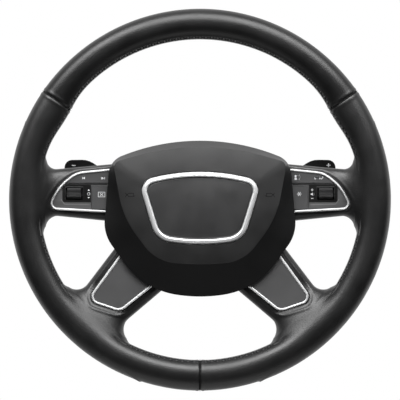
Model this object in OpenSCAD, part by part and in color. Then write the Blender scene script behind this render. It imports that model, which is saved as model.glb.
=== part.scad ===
/* [Rim] */
// Outer diameter of the rim, over the leather
rim_d = 375; // [360:1:400]
// Width of the rim section, seen from the front
rim_w = 30; // [27:0.5:33]
// Depth of the rim section, front to back
rim_depth = 33; // [30:0.5:36]
// Distance of the rim's middle plane from the column face
rim_z = 62; // [58:0.5:68]
// Thickness of the leather
leather_t = 1.4; // [1:0.1:2]
// Angle of the upper seams above the horizontal
seam_angle = 34.7; // [30:0.1:40]
// Angle of the thumb rests above the horizontal
thumb_angle = 31; // [26:0.5:36]
// How far the thumb rests swell in from the rim
thumb_rise = 3.6; // [0:0.2:5]
// Width of the cast core inside the rim
core_w = 14; // [12:0.5:16]
// Depth of the cast core inside the rim
core_depth = 13; // [11:0.5:15]
// Width of the channel in the back of the core
core_channel = 6; // [4:0.5:7]

/* [Spokes] */
// Height of the spoke fronts above the column face
spoke_front = 60; // [58:0.5:62]
// Height of the spoke backs above the column face
spoke_back = 34; // [32:0.5:36]
// Reach of the side spokes in under the cover
side_in = 80; // [78:0.5:82]
// Upper edge of a side spoke where it meets the rim
side_hi = 30.2; // [29:0.2:33]
// Rise of that edge from the rim to the hub
side_hi_rise = 5.6; // [4:0.2:7]
// Lower edge of a side spoke below the centre
side_lo = 16; // [15:0.2:18]
// Drop of that edge from the rim to the hub
side_lo_drop = 6.2; // [4:0.2:8]
// Direction of the lower spokes below the horizontal
lower_angle = 46.2; // [45:0.1:48]
// Reach of the lower spokes in under the cover
lower_in = 84; // [83:0.5:86]
// Upper edge of a lower spoke from its middle line
lower_hi = 22.4; // [21:0.2:24]
// Widening of that edge towards the hub
lower_hi_rise = 6.2; // [4:0.2:8]
// Lower edge of a lower spoke from its middle line
lower_lo = 30; // [28:0.2:32]
// Widening of that edge towards the hub
lower_lo_drop = 5.6; // [4:0.2:7]
// Width of the cast spokes
cast_w = 24; // [20:1:28]
// Thickness of the cast spokes
cast_t = 6; // [5:0.5:7]

/* [Hub] */
// Radius of the smooth bore for the column
bore_r = 9.2; // [8:0.1:10]
// Length of the smooth bore
bore_l = 9; // [7:0.5:11]
// Height of the spline teeth
spline_h = 0.9; // [0.6:0.1:1.2]
// Number of spline teeth
spline_n = 36; // [24:1:40]
// Outer radius of the steel hub
hub_r = 17; // [15:0.5:19]
// Length of the steel hub
hub_l = 22; // [20:0.5:24]
// Distance of the cast hub plate from the column face
plate_z = 10; // [9:0.5:12]
// Thickness of the cast hub plate
plate_t = 6; // [5:0.5:7]

/* [Airbag cover] */
// Half the width of the cover at its shoulders
shoulder_x = 88.5; // [86:0.5:90]
// Half the width of the cover at its widest
cover_x = 93.6; // [92:0.2:95]
// Top of the cover above the centre
cover_top = 57; // [55:0.5:59]
// Bottom of the cover below the centre
cover_bottom = 94.5; // [92:0.5:97]
// Height of the cover's front above the column face
cover_front = 81.5; // [79:0.5:83]
// Fall of the front from its middle to its crease
cover_crown = 5.2; // [5:0.2:8]
// Height of the cover's back edge
cover_back = 45; // [44:0.5:47]
// Thickness of the cover
cover_t = 2.8; // [2:0.1:3]
// Travel of the cover when the horn is pressed
horn_travel = 1.2; // [0.8:0.1:1.5]

/* [Badge field] */
// Width of the bright ring round the badge field
ring_w = 5; // [4:0.2:6]
// Height of the bright ring
ring_h = 3.4; // [3:0.1:4]
// Depth of the badge field below the ring
field_drop = 1.4; // [1:0.1:2]

/* [Switch panels] */
// Width of the bright strip round a switch panel
strip_w = 2.3; // [1.8:0.1:2.6]
// Height of the strips above the panels
strip_rise = 1.2; // [0.8:0.1:1.6]
// Depth of the switch pockets
pocket_d = 14.5; // [14:0.5:15]
// Radius of the thumb rollers
roller_r = 6.2; // [5.8:0.1:6.4]
// Length of the thumb rollers
roller_l = 13.6; // [12.6:0.2:14]
// Number of ribs on a roller
roller_ribs = 28; // [20:1:32]

/* [Lower spoke trims] */
// Width of the bright strip of a lower spoke
trim_w = 2.6; // [2.2:0.1:3]
// Depth of the pocket under the trim
trim_d = 6; // [5:0.5:7]

/* [Paddles] */
// Thickness of a shift paddle
paddle_t = 5; // [4:0.5:6]
// Distance of the paddle backs from the column face
paddle_z = 21; // [20:0.5:22]
// Height of the top of a paddle above the centre
paddle_top = 39.6; // [38:0.2:41]
// Distance of a paddle's outer edge from the centre
paddle_x = 136.5; // [130:0.5:138]
// Distance of a paddle's hinge from the centre
paddle_hinge_x = 77; // [76:0.5:78]
// Radius of the hinge pins
paddle_pin_r = 1.5; // [1.2:0.1:1.8]

/* [Rear cover] */
// Radius of the column opening in the rear cover
column_r = 34; // [32:0.5:36]
// How far the rear collar stands behind the column face
collar_back = 4; // [3:0.5:6]
// Thickness of the rear cover
rear_t = 2.4; // [2:0.1:3]
// Gap between the airbag cover and the rear cover
reveal = 2.5; // [2.2:0.1:3]

/* [Fits] */
// Running clearance of pins and shafts
running = 0.06; // [0.04:0.01:0.08]
// Gap round pieces that move
gap = 0.4; // [0.35:0.05:0.5]
// Gap round trims and panels set in the leather
fit_gap = 0.2; // [0.1:0.05:0.3]

/* [Hidden] */

// Radii of the rim
rim_out = rim_d / 2;
rim_in = rim_out - rim_w;
rim_r = (rim_out + rim_in) / 2;
rim_corner = 2.25;
rim_points = 24;

// The face frame: x to the right, y up, z from the column face towards the driver
module facing() {
    rotate([90, 0, 0]) children();
}
module left_side() {
    mirror([1, 0, 0]) children();
}

// Outlines from corner points, each [x, y, radius of the corner]
function unit(v) = v / norm(v);
function cross2(a, b) = a.x * b.y - a.y * b.x;
function corner_arc(a, p, b, r, step) =
    let (u = unit(a - p), v = unit(b - p), half = acos(u * v) / 2,
         c = p + unit(u + v) * r / sin(half), s = p + u * r / tan(half),
         a0 = atan2(s.y - c.y, s.x - c.x),
         sweep = (cross2(u, v) < 0 ? 1 : -1) * (180 - 2 * half),
         n = max(1, ceil(abs(sweep) / step)))
    [for (k = [0:n]) c + r * [cos(a0 + sweep * k / n), sin(a0 + sweep * k / n)]];
function flat2(p) = [p.x, p.y];
function rounded(corners, step = 12) =
    let (m = len(corners))
    [for (i = [0:m - 1]) each corners[i].z > 0
        ? corner_arc(flat2(corners[(i + m - 1) % m]), flat2(corners[i]),
            flat2(corners[(i + 1) % m]), corners[i].z, step)
        : [flat2(corners[i])]];
// Both halves of a symmetrical outline, from its right half listed top to bottom
function both_sides(half) = concat(half,
    [for (i = [len(half) - 1:-1:0]) if (half[i].x > 0.01) [-half[i].x, half[i].y, half[i].z]]);
// Outline moved in by d along its own normals, for lists that run clockwise
function inset(points, d) =
    let (m = len(points))
    [for (i = [0:m - 1])
        let (e = unit(points[i] - points[(i + m - 1) % m]), f = unit(points[(i + 1) % m] - points[i]),
             n1 = [e.y, -e.x], n2 = [f.y, -f.x])
        points[i] + d * (n1 + n2) / (1 + n1 * n2)];
// Distance from point c to an outline along an angle
function reach(outline, c, angle) =
    let (d = [cos(angle), sin(angle)], m = len(outline))
    max([for (i = [0:m - 1])
        let (p = outline[i], e = outline[(i + 1) % m] - p, den = cross2(d, e))
        if (abs(den) > 0.000001)
        let (t = cross2(p - c, e) / den, u = cross2(p - c, d) / den)
        if (u >= 0 && u <= 1 && t > 0) t]);
function smooth(t) = let (u = min(1, max(0, t))) u * u * (3 - 2 * u);
function oval(a, b, power, n) = [for (k = [0:n - 1])
    let (t = 360 * k / n, c = cos(t), s = sin(t))
    [a * sign(c) * pow(abs(c), 2 / power), b * sign(s) * pow(abs(s), 2 / power)]];

// Solid through a list of rings that all have the same number of points
module loft(rings) {
    n = len(rings[0]);
    m = len(rings);
    sides = [for (i = [0:m - 2]) for (k = [0:n - 1])
        let (a = i * n + k, b = i * n + (k + 1) % n)
        each [[a, a + n, b + n], [a, b + n, b]]];
    ends = [[for (k = [0:n - 1]) k], [for (k = [n - 1:-1:0]) (m - 1) * n + k]];
    polyhedron([for (ring = rings) each ring], concat(sides, ends));
}

// Strip of one section along a path; the section's x is the inset, its y the height
module strip(path, section, closed) {
    n = len(section);
    m = len(path);
    rows = [for (p = section) closed ? inset(path, p.x) : open_inset(path, p.x)];
    points = [for (i = [0:m - 1]) for (k = [0:n - 1]) [rows[k][i].x, rows[k][i].y, section[k].y]];
    last = closed ? m - 1 : m - 2;
    sides = [for (i = [0:last]) for (k = [0:n - 1])
        let (j = (i + 1) % m, a = i * n + k, b = i * n + (k + 1) % n,
             c = j * n + (k + 1) % n, d = j * n + k)
        each [[a, c, d], [a, b, c]]];
    ends = closed ? [] : [[for (k = [n - 1:-1:0]) k], [for (k = [0:n - 1]) (m - 1) * n + k]];
    polyhedron(points, concat(sides, ends));
}
function open_inset(points, d) =
    let (m = len(points))
    [for (i = [0:m - 1])
        let (e = unit(points[max(i, 1)] - points[max(i, 1) - 1]),
             f = unit(points[min(i + 1, m - 1)] - points[min(i, m - 2)]),
             n1 = [e.y, -e.x], n2 = [f.y, -f.x])
        points[i] + d * (n1 + n2) / (1 + n1 * n2)];

// Prism of an outline between two heights
module prism(outline, z0, z1) {
    translate([0, 0, z0]) linear_extrude(z1 - z0) polygon(outline);
}
// Prism of an outline in the plane of a spoke's length and height, w0 to w1 across it
module side_cut(profile, w0, w1) {
    translate([0, w1, 0]) rotate([90, 0, 0]) linear_extrude(w1 - w0) polygon(profile);
}

// Outlines of the cover, its crease and the badge field
cover_outline = rounded(both_sides([
    [0, cover_top + 17.4, 205],
    [shoulder_x, cover_top - 18.8, 20],
    [cover_x + 1.2, -33.4, 38],
    [cover_x - 38.1, 6.4 - cover_bottom, 78],
    [0, -2.5 - cover_bottom, 150]]), 3);
crease_outline = rounded(both_sides([
    [0, cover_top + 3.6, 230],
    [shoulder_x - 3.6, cover_top - 20.6, 7],
    [shoulder_x - 13.7, -17.8, 90],
    [cover_x - 51, 33.8 - cover_bottom, 42],
    [0, 30.9 - cover_bottom, 220]]), 3);
ring_outline = rounded(both_sides([
    [0, 33.2, 190],
    [60.2, 18.2, 13.5],
    [42.4, -39.6, 22],
    [0, -45.6, 190]]), 9);
field_outline = inset(ring_outline, ring_w);

// Outlines of the switch panel, drawn for the right side
panel_tip = rim_in - 5.9;
panel_in = side_in + 4;
panel_hi = side_hi + 0.8;
panel_lo = side_lo - 2.8;
panel_slope = 3.6;
panel_outline = rounded([
    [panel_in, panel_hi, 0],
    [rim_in - 35.5, panel_hi - 3.8, 25],
    [rim_in - 18, side_hi - 16.8, 50],
    [panel_tip, panel_slope - panel_lo, 7],
    [panel_in, -panel_lo, 0]]);
// Lower edge of the panel at a distance from the centre
function panel_edge(x) = panel_slope * (x - panel_in) / (panel_tip - panel_in) - panel_lo;
panel_path = [for (p = panel_outline) if (p.x > panel_in + 0.01) p];
strip_path = concat([[panel_in, panel_hi]], panel_path, [[panel_in, -panel_lo]]);
panel_floor = spoke_front - pocket_d;
// The panel's tip is shallow, over the rise of the cast spoke
panel_deep = rim_in - 22;
tip_floor = spoke_front - 6;
module panel_body(grow, low, high) {
    intersection() {
        prism(inset(panel_outline, -grow), low, high);
        translate([0, -rim_r, low]) cube([panel_deep + grow, rim_d, tip_floor - low]);
    }
    prism(inset(panel_outline, -grow), tip_floor, high);
}

// Outlines of the lower trim in the spoke's own frame: s outwards, w across
trim_in = lower_in + 1;
trim_hi = lower_hi - 1.8;
trim_lo = lower_lo - 3.4;
trim_outline = rounded([
    [trim_in, trim_hi, 0],
    [rim_in - 8.4, trim_hi - 8.6, 8],
    [rim_in - 23.5, 6.6 - trim_lo, 11],
    [trim_in, -trim_lo, 0]]);
trim_path = concat([[trim_in, trim_hi]], [for (p = trim_outline) if (p.x > trim_in + 0.01) p],
    [[trim_in, -trim_lo]]);

// Rim section, and a part of the rim between two angles
function rim_section(shrink) = [
    for (p = oval(rim_w / 2 - shrink, rim_depth / 2 - shrink, rim_corner, rim_points))
    p + [rim_r, rim_z]];
module rim_arc(from, to, shrink) {
    rotate([0, 0, from]) rotate_extrude(angle = to - from, $fn = 120) polygon(rim_section(shrink));
}
// Thumb rest: a straight bar of the rim's section that stands out on the inner side
thumb_reach = 36;
module thumb_rest() {
    low = rim_in - thumb_rise;
    half = (rim_out - 4.1 - low) / 2;
    rotate([0, 0, thumb_angle]) rotate([90, 0, 0])
        linear_extrude(2 * thumb_reach, center = true) polygon([for (p =
            oval(half, rim_depth / 2 - 0.5, rim_corner, rim_points)) p + [low + half, rim_z]]);
}
// Half of the space beside the plane through the axis at an angle
module beside(angle, up) {
    rotate([0, 0, angle]) translate([-rim_d, up ? 0 : -rim_d, 0]) cube([2 * rim_d, rim_d, 2 * rim_z]);
}

// A spoke's leather skin: a lofted arm that flares into the rim
function flare(d, r) = d <= 0 ? 0 : r * (1 - sqrt(1 - pow(min(d / r, 0.99), 2))) + max(0, d - r) * 1.8;
function spoke_ring(s, s_in, s_hi, s_lo, hi, hi_rise, lo, lo_drop, r_hi, r_lo) =
    let (back_off = (s_hi - s) / (s_hi - s_in),
         top = hi + hi_rise * max(0, back_off) + flare(s - s_hi, r_hi),
         bottom = lo + lo_drop * max(0, back_off) + flare(s - s_lo, r_lo),
         rise = smooth((s - s_hi + 10) / (rim_r - 6 - s_hi + 10)),
         front = spoke_front + (rim_z + rim_depth / 2 - 3.5 - spoke_front) * rise,
         back = spoke_back + (rim_z - rim_depth / 2 + 3.5 - spoke_back) * rise)
    [for (p = oval(1, 1, 3.4 - 0.9 * rise, rim_points))
        [s, (top - bottom) / 2 + p.x * (top + bottom) / 2, (front + back) / 2 + p.y * (front - back) / 2]];
module spoke_arm(s_in, s_hi, s_lo, hi, hi_rise, lo, lo_drop, r_hi, r_lo) {
    straight = 4;
    curved = 8;
    ends = rim_r - 6;
    stations = concat(
        [for (k = [0:straight]) s_in + (s_lo - s_in) * k / straight],
        [for (k = [1:curved]) s_lo + (ends - s_lo) * k / curved]);
    loft([for (s = stations) spoke_ring(s, s_in, s_hi, s_lo, hi, hi_rise, lo, lo_drop, r_hi, r_lo)]);
}
module side_arm() {
    spoke_arm(side_in, rim_in - 15.5, rim_in - 17.5, side_hi, side_hi_rise, side_lo, side_lo_drop, 9, 12);
}
module lower_arm() {
    rotate([0, 0, -lower_angle])
        spoke_arm(lower_in, rim_in - 19, rim_in - 23.5, lower_hi, lower_hi_rise, lower_lo, lower_lo_drop,
            13, 15);
}

// Foam under the leather: a ring, and a block in each spoke
module foam_ring() {
    rotate([0, 0, 60]) rotate_extrude($fn = 120) polygon(rim_section(leather_t));
}
foam_low = spoke_back + 4;
foam_high = spoke_front - 4;
module foam_block(s_in, w_hi, w_lo) {
    side_cut([[s_in, foam_low], [rim_in - 22, foam_low], [rim_r - 8, rim_z - 9], [rim_r - 8, rim_z + 6],
        [rim_in - 17, foam_high], [s_in, foam_high]], -w_lo, w_hi);
}
module foam_blocks() {
    foam_block(side_in, side_hi - 5, side_lo - 4);
    rotate([0, 0, -lower_angle]) foam_block(lower_in, lower_hi - 5, lower_lo - 6);
}
module pockets() {
    panel_body(fit_gap, panel_floor, rim_z + rim_depth);
    translate([panel_in - 8, -panel_lo - fit_gap, panel_floor])
        cube([8 + fit_gap, panel_hi + panel_lo + 2 * fit_gap, rim_z + rim_depth - panel_floor]);
    rotate([0, 0, -lower_angle]) {
        prism(inset(trim_outline, -fit_gap), spoke_front - trim_d, rim_z + rim_depth);
        translate([trim_in - 8, -trim_lo - fit_gap, spoke_front - trim_d])
            cube([8 + fit_gap, trim_hi + trim_lo + 2 * fit_gap, rim_z + rim_depth - spoke_front + trim_d]);
    }
}

// The cast skeleton: rim core, four spokes and the hub plate
core_hw = core_w / 2;
core_hd = core_depth / 2;
module rim_core() {
    translate([0, 0, rim_z]) rotate([0, 0, 60]) rotate_extrude($fn = 120) translate([rim_r, 0]) polygon([
        [-core_hw, -core_hd], [-core_channel / 2, -core_hd], [-core_channel / 2, 0],
        [core_channel / 2, 0], [core_channel / 2, -core_hd], [core_hw, -core_hd],
        [core_hw, core_hd - 3], [core_hw - 3, core_hd], [3 - core_hw, core_hd], [-core_hw, core_hd - 3]]);
}
cast_low = spoke_back + 4;
module cast_spoke(turn, knee) {
    plate_top = plate_z + plate_t + 3;
    rotate([0, 0, turn]) difference() {
        side_cut([[30, plate_z], [knee, plate_z], [knee + 28, cast_low], [rim_in - 19, cast_low],
            [rim_r - 4, rim_z - core_hd + 1], [rim_r - 4, rim_z + core_hd - 1],
            [panel_tip + 1, tip_floor - 1],
            [rim_in - 21, cast_low + cast_t], [knee + 26, cast_low + cast_t], [knee - 2, plate_top],
            [30, plate_top]], -cast_w / 2, cast_w / 2);
        side_cut([[hub_r + 22, plate_z - 1], [knee - 3, plate_z - 1], [knee + 24, cast_low - 4],
            [knee + 20, cast_low - 2], [knee - 5, plate_z + 4], [hub_r + 22, plate_z + 4]],
            -cast_w / 2 + 3, cast_w / 2 - 3);
    }
}
side_knee = 46;
lower_knee = 56;
pin_places = [[-48, -20], [48, -20], [0, -51.5]];
bush_r = 5.5;
pin_r = 2.4;
post_top = plate_z + plate_t + 4;
screw_places = [[-37, 25], [37, 25], [-31, -36], [31, -36]];
module cast_spokes() {
    for (turn = [0, 180]) cast_spoke(turn, side_knee);
    for (turn = [-lower_angle, 180 + lower_angle]) cast_spoke(turn, lower_knee);
}
module armature() {
    hub_half = [[0, 33, 0], [50, 33, 14], [58, -14, 16], [36, -62, 14], [0, -62, 0]];
    hub_plate = rounded(both_sides(hub_half), 15);
    color("dimgray") facing() difference() {
        union() {
            prism(hub_plate, plate_z, plate_z + plate_t);
            translate([0, 0, 4]) cylinder(h = hub_l - 4, r = hub_r + 8, $fn = 72);
            cast_spokes();
            rim_core();
            for (p = pin_places) translate([p.x, p.y, plate_z])
                cylinder(h = post_top - plate_z, r = 9, $fn = 48);
            for (p = screw_places) translate([p.x, p.y, plate_z])
                cylinder(h = post_top - plate_z, r = 5, $fn = 36);
        }
        cylinder(h = hub_l + 1, r = hub_r, $fn = 96);
        for (p = pin_places) translate([p.x, p.y, 0]) cylinder(h = post_top + 1, r = bush_r, $fn = 48);
        for (p = screw_places) translate([p.x, p.y, 0]) cylinder(h = post_top + 1, r = 1.6, $fn = 32);
    }
}

// Steel hub cast into the skeleton, with a smooth bore and spline teeth
module hub_insert() {
    root = bore_r - 0.15;
    tip = root - spline_h;
    color("silver") facing() difference() {
        union() {
            cylinder(h = hub_l, r = hub_r, $fn = 96);
            cylinder(h = 4, r = hub_r + 3, $fn = 96);
        }
        translate([0, 0, -1]) cylinder(h = bore_l + 1, r = bore_r, $fn = 96);
        translate([0, 0, bore_l - 0.5]) linear_extrude(hub_l - bore_l - 4.5) polygon(
            [for (k = [0:spline_n - 1]) for (e = [0:3])
                let (a = 360 / spline_n * (k + [0, 0.28, 0.5, 0.78][e]), r = e == 1 || e == 2 ? tip : root)
                [r * cos(a), r * sin(a)]]);
        translate([0, 0, hub_l - 5.5]) cylinder(h = 7, r = bore_r - 0.4, $fn = 72);
    }
}

module rim_foam() {
    color("darkkhaki") facing() difference() {
        union() {
            foam_ring();
            foam_blocks();
            left_side() foam_blocks();
        }
        rim_core();
        cast_spokes();
        pockets();
        left_side() pockets();
    }
}

// The rim's leather: one piece above the seams, one on each side below them
module thumb_top() {
    intersection() {
        thumb_rest();
        beside(seam_angle, true);
    }
}
module leather_top() {
    color([0.09, 0.09, 0.095]) facing() difference() {
        union() {
            rim_arc(seam_angle, 180 - seam_angle, 0);
            thumb_top();
            left_side() thumb_top();
        }
        foam_ring();
    }
}
module leather_side() {
    difference() {
        union() {
            intersection() {
                union() {
                    rim_arc(-90, seam_angle + 4, 0);
                    thumb_rest();
                }
                beside(seam_angle, false);
            }
            side_arm();
            lower_arm();
        }
        foam_ring();
        foam_blocks();
        pockets();
        rim_core();
        cast_spokes();
    }
}
module leather_left() {
    color([0.09, 0.09, 0.095]) facing() left_side() leather_side();
}
module leather_right() {
    color([0.09, 0.09, 0.095]) facing() leather_side();
}

// The airbag cover: a crowned front, a crease, and walls that sweep back to the edge
cover_c = [0, -18];
cover_n = 56;
cover_turns = [for (k = [0:cover_n - 1]) 360 * k / cover_n + 90];
cover_reach = [for (a = cover_turns) reach(cover_outline, cover_c, a)];
crease_reach = [for (k = [0:cover_n - 1])
    min(reach(crease_outline, cover_c, cover_turns[k]), cover_reach[k] - 2)];
crease_z = cover_front - cover_crown;
function crowned(f) = cover_front - cover_crown * pow(f, 2.3);
function around(distances, z) = [for (k = [0:cover_n - 1])
    [cover_c.x + distances[k] * cos(cover_turns[k]), cover_c.y + distances[k] * sin(cover_turns[k]),
        is_list(z) ? z[k] : z]];
// The wall rolls out from the crease, and is upright from just above the spokes down
notch_z = spoke_front + strip_rise + horn_travel + 1.4;
wall_knee = (crease_z - notch_z - 0.4) / (crease_z - cover_back);
function wall_share(u) = 1 - pow(1 - min(1, u / wall_knee), 1.7);
function front_ring(f, t) = around([for (r = crease_reach) max(1, r * f - t * f)], crowned(f) - t);
function wall_ring(u, t) = let (share = wall_share(u)) around(
    [for (k = [0:cover_n - 1]) crease_reach[k] * (1 - share) + cover_reach[k] * share - t],
    crease_z - (crease_z - cover_back) * u - t * (1 - share));
module cover_dome(t, low, wall, front) {
    loft(concat(
        [around([for (r = cover_reach) r - t - 0.8], low)],
        [for (u = wall) wall_ring(u, t)],
        [for (f = front) front_ring(f, t)]));
}
can_outline = rounded(both_sides([[0, 31, 0], [56, 31, 12], [56, -30, 20], [40, -59, 16], [0, -59, 0]]), 15);
can_low = 33;
can_high = 58;
module cover_notches() {
    // Clearance of the spokes and switch panels under the cover's walls
    for (side = [0, 1]) mirror([side, 0, 0]) {
        prism([[side_in - 6, side_hi + side_hi_rise + 2], [rim_in, side_hi + side_hi_rise + 2],
            [rim_in, -side_lo - side_lo_drop - 2], [side_in - 6, -side_lo - side_lo_drop - 2]], 20, notch_z);
        rotate([0, 0, -lower_angle]) prism([[lower_in - 5, lower_hi + lower_hi_rise + 2],
            [rim_in, lower_hi + lower_hi_rise + 2], [rim_in, -lower_lo - lower_lo_drop - 2],
            [lower_in - 5, -lower_lo - lower_lo_drop - 2]], 20, notch_z);
    }
}
ring_seat = crowned(0.62) - 2.2;
module airbag_cover() {
    color([0.17, 0.17, 0.175]) facing() difference() {
        union() {
            difference() {
                cover_dome(0, cover_back, wall_knee * [2.2, 1, 0.75, 0.5, 0.25, 0.1],
                    [1, 0.93, 0.8, 0.6, 0.35, 0.1]);
                cover_dome(cover_t, cover_back - 1, wall_knee * [2.2, 1, 0.5], [1, 0.8, 0.45, 0.1]);
            }
            difference() {
                prism(inset(can_outline, -2), can_low + 6, crease_z - 0.5);
                prism(can_outline, can_low, crease_z + 2);
            }
            prism(inset(ring_outline, -1), ring_seat - 2, ring_seat);
        }
        cover_notches();
        prism(inset(ring_outline, -0.1), ring_seat, cover_front + 5);
    }
}

module chrome_ring() {
    top = ring_seat + ring_h;
    color([0.85, 0.86, 0.87]) facing() strip(ring_outline, [[0, ring_seat], [0, ring_seat + 1.6],
        [ring_w * 0.3, top], [ring_w * 0.8, top], [ring_w, ring_seat + 1.6], [ring_w, ring_seat]], true);
}
module badge_field() {
    color([0.13, 0.13, 0.135]) facing() prism(field_outline, ring_seat, ring_seat + ring_h - field_drop);
}

// The airbag module behind the cover
gas_c = [0, -12];
gas_r = 27.4;
stud_r = 2.5;
stud_ring = 32.4;
stud_turns = [45, 135, 225, 315];
base_t = 2;
pin_head_z = plate_z;
module at_studs() {
    for (a = stud_turns)
        translate([gas_c.x + stud_ring * cos(a), gas_c.y + stud_ring * sin(a), 0]) children();
}
module airbag_can() {
    color("darkgray") facing() difference() {
        prism(can_outline, can_low, can_high);
        prism(inset(can_outline, 1.5), can_low + base_t, can_high + 1);
        translate([gas_c.x, gas_c.y, can_low - 1]) cylinder(h = base_t + 2, r = gas_r, $fn = 72);
        at_studs() translate([0, 0, can_low - 1]) cylinder(h = base_t + 2, r = stud_r, $fn = 32);
        for (p = pin_places) translate([p.x, p.y, can_low - 1]) cylinder(h = base_t + 2, r = pin_r, $fn = 32);
    }
}
gas_back = hub_l + 6;
gas_front = 52;
module inflator() {
    flange_z = can_low + base_t;
    color("lightgray") facing() union() {
        translate([gas_c.x, gas_c.y, gas_back]) cylinder(h = gas_front - gas_back - 2, r = gas_r, $fn = 72);
        translate([gas_c.x, gas_c.y, gas_back]) cylinder(h = gas_front - gas_back, r = gas_r - 3, $fn = 72);
        translate([gas_c.x, gas_c.y, flange_z]) cylinder(h = 2, r = stud_ring + 3.1, $fn = 72);
        at_studs() translate([0, 0, can_low - 5]) cylinder(h = 6 + base_t, r = stud_r, $fn = 32);
    }
}
module inflator_nuts() {
    color("gainsboro") facing() at_studs() translate([0, 0, can_low - 4]) difference() {
        cylinder(h = 4, r = 4.6, $fn = 6);
        translate([0, 0, -1]) cylinder(h = 6, r = stud_r, $fn = 32);
    }
}
module airbag_cushion() {
    color("whitesmoke") facing() difference() {
        prism(inset(can_outline, 4), can_low + base_t, crease_z - cover_t - 3);
        translate([gas_c.x, gas_c.y, can_low]) cylinder(h = base_t + 2.3, r = stud_ring + 3.8, $fn = 72);
        translate([gas_c.x, gas_c.y, can_low])
            cylinder(h = gas_front - can_low + 0.3, r = gas_r + 0.3, $fn = 72);
        for (p = pin_places) translate([p.x, p.y, can_low]) cylinder(h = 5, r = pin_r + 2, $fn = 32);
    }
}

// Horn contact: pins on the module float in bushes on the skeleton, held off by springs
module at_pins() {
    for (p = pin_places) translate([p.x, p.y, 0]) children();
}
module horn_pins() {
    color("silver") facing() at_pins() union() {
        translate([0, 0, pin_head_z + 1]) cylinder(h = can_low + base_t - pin_head_z, r = pin_r, $fn = 36);
        translate([0, 0, can_low - 1.5]) cylinder(h = 1.5, r = pin_r + 2, $fn = 36);
        translate([0, 0, can_low + base_t]) cylinder(h = 1.5, r = pin_r + 1.2, $fn = 36);
        translate([0, 0, pin_head_z]) cylinder(h = 2, r = pin_r + 1, $fn = 36);
    }
}
module horn_bushes() {
    color("ivory") facing() at_pins() difference() {
        union() {
            translate([0, 0, plate_z]) cylinder(h = post_top - plate_z, r = bush_r, $fn = 48);
            translate([0, 0, post_top]) cylinder(h = 1.5, r = bush_r + 2, $fn = 48);
        }
        translate([0, 0, plate_z - 1]) cylinder(h = post_top - plate_z + 4, r = pin_r + running, $fn = 36);
        translate([0, 0, plate_z - 1]) cylinder(h = 3, r = pin_r + 1.6, $fn = 36);
    }
}
wire_r = 0.5;
coil_r = 4.2;
module horn_springs() {
    low = post_top + 1.5 + wire_r;
    high = can_low - 1.5 - wire_r;
    turns = 3;
    per_turn = 8;
    steps = turns * per_turn;
    color("silver") facing() at_pins() loft([for (i = [steps:-1:0])
        let (a = 360 * i / per_turn, z = low + (high - low) * i / steps)
        [for (t = [45:90:315]) [(coil_r + wire_r * 1.25 * cos(t)) * cos(a),
            (coil_r + wire_r * 1.25 * cos(t)) * sin(a), z + wire_r * sin(t) * 1.25]]]);
}

// Rear cover: a bowl round the column opening, cut away behind the spokes
rear_front = cover_back - reveal;
rear_lip = 2;
function rear_ring(share, z, t) = around([for (k = [0:cover_n - 1])
    let (hole = reach(rounded([[-column_r - 4, -column_r - 4, column_r + 3.9],
            [-column_r - 4, column_r + 4, column_r + 3.9],
            [column_r + 4, column_r + 4, column_r + 3.9],
            [column_r + 4, -column_r - 4, column_r + 3.9]], 6), cover_c, cover_turns[k]))
    hole * (1 - share) + cover_reach[k] * share - t], z);
module rear_bowl(t, back_z, front_z) {
    loft([rear_ring(0, back_z, t), rear_ring(0.12, t - 2.5, t), rear_ring(0.36, 0.5 + t, t),
        rear_ring(0.66, 8 + t, t), rear_ring(0.86, 20 + t / 2, t), rear_ring(0.97, 31 + t / 2, t),
        rear_ring(1, 39, t), rear_ring(1, front_z, t)]);
}
paddle_y0 = -13;
arm_y0 = -1;
arm_y1 = 23;
module rear_cover() {
    color([0.12, 0.12, 0.125]) facing() difference() {
        union() {
            difference() {
                rear_bowl(0, -collar_back, rear_front - rear_lip);
                rear_bowl(rear_t, -collar_back + 2, rear_front);
            }
            translate([0, 0, rear_front - rear_lip]) linear_extrude(rear_lip) difference() {
                polygon([for (p = rear_ring(1, 0, 0)) [p.x, p.y]]);
                polygon([for (p = rear_ring(1, 0, rear_t)) [p.x, p.y]]);
            }
            for (p = screw_places) translate([p.x, p.y, -0.5]) cylinder(h = plate_z + 0.5, r = 5, $fn = 36);
        }
        translate([0, 0, -collar_back - 1]) cylinder(h = 12, r = column_r, $fn = 96);
        for (side = [0, 1]) mirror([side, 0, 0]) {
            prism([[side_in - 8, side_hi + side_hi_rise + 1], [rim_in, side_hi + side_hi_rise + 1],
                [rim_in, -side_lo - side_lo_drop - 1], [side_in - 8, -side_lo - side_lo_drop - 1]],
                spoke_back - 0.6, cover_back);
            translate([bracket_x0 - 1, arm_y0 - gap - ear_t - 1, paddle_z - 4])
                cube([60, arm_y1 - arm_y0 + 2 * (gap + ear_t + 1), 30]);
            rotate([0, 0, -lower_angle]) prism([[lower_in - 10, lower_hi + lower_hi_rise + 1],
                [rim_in, lower_hi + lower_hi_rise + 1], [rim_in, -lower_lo - lower_lo_drop - 1],
                [lower_in - 10, -lower_lo - lower_lo_drop - 1]], spoke_back - 0.6, cover_back);
        }
        for (p = screw_places) translate([p.x, p.y, -collar_back]) {
            cylinder(h = 30, r = 1.8, $fn = 32);
            cylinder(h = plate_z + collar_back - 2.5, r = 3.6, $fn = 32);
        }
    }
}
module rear_cover_screws() {
    color("dimgray") facing() for (p = screw_places) translate([p.x, p.y, 0]) difference() {
        union() {
            translate([0, 0, plate_z - 2.5]) cylinder(h = 12, r = 1.6, $fn = 32);
            translate([0, 0, plate_z - 4.7]) cylinder(h = 2.2, r = 3.4, $fn = 32);
        }
        translate([0, 0, plate_z - 5]) cylinder(h = 1.9, r = 1.9, $fn = 6);
    }
}
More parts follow.
